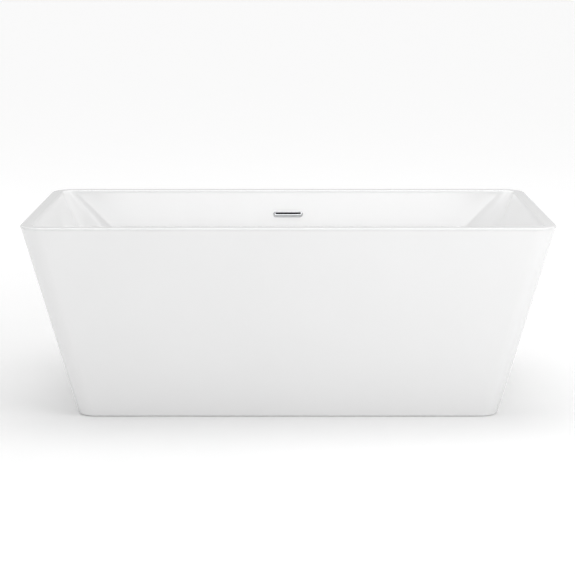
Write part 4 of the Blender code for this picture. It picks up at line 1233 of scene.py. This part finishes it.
def make_tee(pvc):
    """Moulded tee with beaded sockets and a flared branch."""
    low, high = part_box("drain_tee")
    wall = high.x
    reach = high.y
    body = rounded([(0.0, low.z), (wall - 0.0012, low.z), (wall - 0.0012, low.z + 0.006),
                    (wall - 0.0030, low.z + 0.0075), (wall - 0.0030, high.z - 0.012),
                    (wall, high.z - 0.010), (wall, high.z), (0.0, high.z)], 0.0008, 4, False)
    branch = rounded([(0.0, 0.0), (0.0172, 0.0), (0.0172, 0.0262), (0.0126, 0.0320),
                      (0.0126, reach - 0.012), (SOCKET_RADIUS, reach - 0.010),
                      (SOCKET_RADIUS, reach), (0.0, reach)], 0.0008, 4, False)
    start = Vector((0, 0, BRANCH_HEIGHT))
    end = Vector((0, reach, BRANCH_HEIGHT))
    outlet = TAIL_PIPE_RADIUS + GAP
    inlet = TAIL_RADIUS + GAP
    bore = [(outlet, low.z - 0.005), (outlet, TEE_LEDGE), (inlet, TEE_LEDGE), (inlet, high.z + 0.005)]
    side = [(PIPE_RADIUS + GAP, 0.0), (PIPE_RADIUS + GAP, reach + 0.005)]
    tee = loft("waste_tee", turned_rings(body))
    combine(tee, pipe_rings(start, end, branch), "UNION")
    combine(tee, turned_rings(bore), "DIFFERENCE")
    combine(tee, pipe_rings(start, end, side), "DIFFERENCE")
    stand_for(tee, "drain_tee", pvc)


def make_straight_pipes(pvc):
    low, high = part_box("tail_pipe")
    turned_piece("waste_tail_pipe", "tail_pipe",
                 tube_outline(TAIL_PIPE_BORE, TAIL_PIPE_RADIUS, low.z, high.z), pvc)
    low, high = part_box("tail_nut")
    rings = grip_rings(TAIL_PIPE_RADIUS + GAP, high.x, low.z, high.z)
    stand_in("waste_slip_nut", "tail_nut", rings, pvc)
    low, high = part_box("branch_nut")
    rings = grip_rings(PIPE_RADIUS + GAP, high.x, 0.0, high.y - low.y, 12, 0.0010)
    rings = placed(rings, Vector((0, low.y, BRANCH_HEIGHT)), Vector((0, 1, 0)))
    stand_in("branch_slip_nut", "branch_nut", rings, pvc)
    low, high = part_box("branch_pipe")
    tube_piece("branch_run", "branch_pipe", Vector((0, low.y, BRANCH_HEIGHT)),
               Vector((0, high.y, BRANCH_HEIGHT)), pvc)


def elbow_stations():
    """Centre, heading and outer radius along the elbow: socket, bend, socket."""
    level = Vector((0, 1, 0))
    turn = level.angle(PIPE_RISE)
    start = pipe_place(BRANCH_HEIGHT) - level * BEND_RADIUS * math.tan(turn / 2)
    centre = start + Vector((0, 0, 1)) * BEND_RADIUS
    stations = [(start - level * (SOCKET_DEPTH - along), level, SOCKET_RADIUS - less)
                for along, less in ELBOW_COLLAR]
    for step in range(BEND_STEPS + 1):
        angle = turn * step / BEND_STEPS
        heading = Vector((0, math.cos(angle), math.sin(angle)))
        place = centre + BEND_RADIUS * Vector((0, math.sin(angle), -math.cos(angle)))
        stations.append((place, heading, SOCKET_RADIUS - SOCKET_BEAD))
    end = stations[-1][0]
    return stations + [(end + PIPE_RISE * (SOCKET_DEPTH - along), PIPE_RISE, SOCKET_RADIUS - less)
                       for along, less in reversed(ELBOW_COLLAR)]


def make_overflow_pipes(pvc):
    across = Vector((1, 0, 0))
    stations = elbow_stations()
    stations += [(centre, heading, PIPE_RADIUS + GAP) for centre, heading, _ in reversed(stations)]
    rings = [around(centre, across * radius, across.cross(heading) * radius, ELBOW_SEGMENTS)
             for centre, heading, radius in stations]
    stand_in("overflow_bend", "overflow_elbow", rings, pvc)
    low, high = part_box("overflow_pipe")
    trim = PIPE_RADIUS * PIPE_RISE.y
    tube_piece("overflow_riser", "overflow_pipe", pipe_place(low.z + trim),
               pipe_place(high.z - trim), pvc)


# ---- overflow parts behind the wall ----
SEAL_THICKNESS = 0.0015
GASKET_MARGIN = 0.006
HEAD_WIDTH = 0.116
HEAD_HEIGHT = 0.034
HEAD_DEPTH = 0.018
HEAD_WALL = 0.003
HEAD_PAD = 0.003
HEAD_EDGE = 0.010
SEAL_NEAR = BACKING_OUTER + GAP
HEAD_NEAR = SEAL_NEAR + SEAL_THICKNESS + GAP
HEAD_FAR = HEAD_NEAR + HEAD_DEPTH
HOLE_SPARE = THROAT_WALL + HOLE_MARGIN


def make_gasket(rubber):
    far = SEAL_NEAR + SEAL_THICKNESS
    outline = rounded([(GASKET_MARGIN, SEAL_NEAR), (GASKET_MARGIN, far), (0.0, far),
                       (0.0, SEAL_NEAR)], 0.0004, 3)
    rings = [throat_ring(y, HOLE_SPARE + margin) for margin, y in outline]
    stand_in("overflow_gasket_ring", "overflow_gasket", on_wall(rings), rubber, sharp=40)


def make_head(pvc):
    """Moulded box behind the wall, with rounded edges and a beaded neck for the pipe."""
    inside = HEAD_NEAR + HEAD_WALL
    shell = rounded([(HEAD_EDGE, HEAD_FAR), (0.0, HEAD_FAR), (0.0, HEAD_NEAR),
                     (HEAD_EDGE, HEAD_NEAR)], 0.003, 6, False)[1:-1]
    rings = [slot_ring(HEAD_WIDTH - 2 * inset, HEAD_HEIGHT - 2 * inset, y) for inset, y in shell]
    rings += [throat_ring(HEAD_NEAR, HOLE_SPARE), throat_ring(inside, HOLE_SPARE)]
    rings += [slot_ring(HEAD_WIDTH - 2 * HEAD_WALL, HEAD_HEIGHT - 2 * HEAD_WALL, y)
              for y in (inside, HEAD_FAR - HEAD_WALL)]
    head = loft("overflow_head_box", on_wall(rings))
    start = pipe_place(TUB_HEIGHT - OVERFLOW_DEPTH - HEAD_HEIGHT / 2)
    foot = start - PIPE_RISE * (SOCKET_DEPTH + HEAD_WALL)
    reach = SOCKET_DEPTH + HEAD_WALL * 1.5
    waist = SOCKET_RADIUS - 0.0012
    neck = rounded([(0.0, 0.0), (SOCKET_RADIUS, 0.0), (SOCKET_RADIUS, 0.008), (waist, 0.0095),
                    (waist, reach), (0.0, reach)], 0.0005, 3, False)[1:-1]
    socket = [(PIPE_RADIUS + GAP, -HEAD_WALL), (PIPE_RADIUS + GAP, (start - foot).length)]
    bore_radius = HEAD_DEPTH / 2 - HEAD_WALL
    bore = [(bore_radius, 0.0), (bore_radius, 3 * HEAD_WALL)]
    combine(head, pipe_rings(foot, start, neck), "UNION")
    combine(head, pipe_rings(foot, start, socket), "DIFFERENCE")
    combine(head, pipe_rings(start - PIPE_RISE * HEAD_WALL, start, bore), "DIFFERENCE")
    stand_for(head, "overflow_head", pvc)


def make_painted_head_shade(material):
    """Painted shade: a near-black pad on the head box's back wall that keeps the slot dark."""
    back = HEAD_FAR - HEAD_WALL - GAP
    front = back - HEAD_PAD
    width, height = (size - 2 * (HEAD_WALL + LINER_WALL) for size in (HEAD_WIDTH, HEAD_HEIGHT))
    outline = [(LINER_WALL, front), (0.0, front + LINER_WALL), (0.0, back)]
    rings = [slot_ring(width - 2 * inset, height - 2 * inset, y) for inset, y in outline]
    extra(loft("overflow_painted_head_shade", on_wall(rings)), material)


# ---- camera, light and floor ----
CAMERA_PLACE = (-0.002, -4.994, 1.431)
CAMERA_PITCH = 12.33
CAMERA_LENS = 96.3
CAMERA_SENSOR = 36.0
FLOOR_HALF = 90.0
# the floor's own glow: near the tub, far from it, and how far it is at each
GLOW_UNDER_TUB = 0.06
FLOOR_GLOW = 0.34
GLOW_NEAR = 0.6
GLOW_FAR = 3.6
# brightness of the dome's soft lobes, and how narrow some of them are
DOME_UP = 0.15
DOME_BACK = 2.70
DOME_LEFT = 1.15
DOME_RIGHT = 0.60
DOME_FRONT = 0.74
DOME_HORIZON = 0.80
DOME_UNDER = 0.45
HORIZON_FADE = 4.0
FRONT_FOCUS = 4.0
BACK_FOCUS = 1.5


def make_camera():
    data = bpy.data.cameras.new("camera")
    data.lens = CAMERA_LENS
    data.sensor_width = CAMERA_SENSOR
    camera = bpy.data.objects.new("camera", data)
    camera.location = CAMERA_PLACE
    camera.rotation_euler = (math.radians(90 - CAMERA_PITCH), 0, 0)
    bpy.context.scene.collection.objects.link(camera)
    bpy.context.scene.camera = camera


def soft_box(name, place, target, size, power):
    data = bpy.data.lights.new(name, "AREA")
    data.shape = "RECTANGLE"
    data.size, data.size_y = size
    data.energy = power
    light = bpy.data.objects.new(name, data)
    light.location = place
    light.visible_camera = False
    light.rotation_euler = (Vector(target) - Vector(place)).to_track_quat("-Z", "Y").to_euler()
    bpy.context.scene.collection.objects.link(light)


def make_stage():
    """Pale floor; far from the tub it glows a little, as a lit studio sweep does."""
    half = FLOOR_HALF
    floor = add_mesh("studio_floor", [(-half, -half, 0), (half, -half, 0), (half, half, 0),
                                      (-half, half, 0)], [(0, 1, 2, 3)])
    material, shader, coords = new_material("pale_floor")
    grain = speckle(coords, 3.0, 2.0)
    feed(ramp(grain, [(0.3, 0.915), (0.7, 0.925)]), shader, "Base Color")
    away = put("ShaderNodeVectorMath", {0: coords}, operation="LENGTH").outputs["Value"]
    glow = put("ShaderNodeMapRange",
               {"Value": away, "From Min": GLOW_NEAR, "From Max": GLOW_FAR,
                "To Min": GLOW_UNDER_TUB, "To Max": FLOOR_GLOW},
               interpolation_type="SMOOTHSTEP").outputs["Result"]
    feed(glow, shader, "Emission Strength")
    shader.inputs["Emission Color"].default_value = (1, 1, 1, 1)
    shader.inputs["Roughness"].default_value = 0.9
    dress(floor, material)
    floor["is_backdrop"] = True


def make_world():
    """A soft white dome: brightest high at the back and low in front, pale round the horizon."""
    world = bpy.data.worlds.new("studio_dome")
    bpy.context.scene.world = world
    world.use_nodes = True
    tree = world.node_tree
    sky = tree.nodes.new("ShaderNodeTexCoord").outputs["Generated"]
    parts = put("ShaderNodeSeparateXYZ", {"Vector": sky}).outputs

    def times(first, second):
        return maths("MULTIPLY", first, second)

    def side(axis, sign):
        return maths("MAXIMUM", times(parts[axis], sign))

    high = side("Z", 1)
    rim = times(maths("ABSOLUTE", parts["Z"]), HORIZON_FADE)
    lobes = ((times(side("Y", 1), maths("POWER", high, BACK_FOCUS)), DOME_BACK),
             (times(side("X", -1), high), DOME_LEFT),
             (times(side("X", 1), high), DOME_RIGHT),
             (maths("POWER", side("Y", -1), FRONT_FOCUS), DOME_FRONT),
             (maths("MAXIMUM", maths("SUBTRACT", 1.0, rim)), DOME_HORIZON),
             (side("Z", -1), DOME_UNDER))
    total = times(high, DOME_UP)
    for shape, level in lobes:
        total = maths("ADD", total, times(shape, level))
    background = tree.nodes["Background"]
    background.inputs["Color"].default_value = (1, 1, 1, 1)
    feed(total, background, "Strength")


def make_lights():
    soft_box("top_softbox", (0, 0, 3.2), (0, 0, 0.35), (3.0, 2.0), 33)
    soft_box("front_softbox", (0, -6.6, 1.85), (0, 0.3, 0.5), (3.0, 1.2), 32)
    soft_box("front_right_softbox", (2.1, -1.7, 2.6), (0, 0, 0.4), (2.4, 2.0), 30)


def main():
    make_camera()
    make_stage()
    make_world()
    make_lights()
    bpy.context.scene.view_settings.view_transform = "Standard"
    laminate = laminate_material()
    galvanised = galvanised_material()
    acrylic, zinc, chrome, brass, rubber, shade_paint, pvc, weld = (
        noisy_material(name, **look) for name, look in LOOKS.items())
    make_basin(acrylic)
    make_skirt(acrylic)
    make_laminate(laminate)
    make_skirt_lining(laminate)
    make_trim(chrome)
    # the throat's sleeve and the head box's pad are painted shade that darkens the overflow slot
    make_painted_throat_shade(shade_paint)
    make_painted_head_shade(shade_paint)
    make_flange(chrome)
    make_stopper(chrome, rubber, brass)
    make_cartridge(brass, zinc)
    make_locknut(brass)
    make_board(board_material())
    make_frame(galvanised, weld)
    make_brackets(laminate, galvanised, weld)
    make_feet(rubber, zinc, galvanised, weld)
    make_tee(pvc)
    make_straight_pipes(pvc)
    make_overflow_pipes(pvc)
    make_gasket(rubber)
    make_head(pvc)


def write_sizes():
    """Sets the CAD box and the finished model's box side by side in a dict that is not kept."""
    boxes = {"cad": CAD_BOX, "visual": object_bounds()}
    {name: [list(corner) for corner in box] for name, box in boxes.items()}


main()
write_sizes()
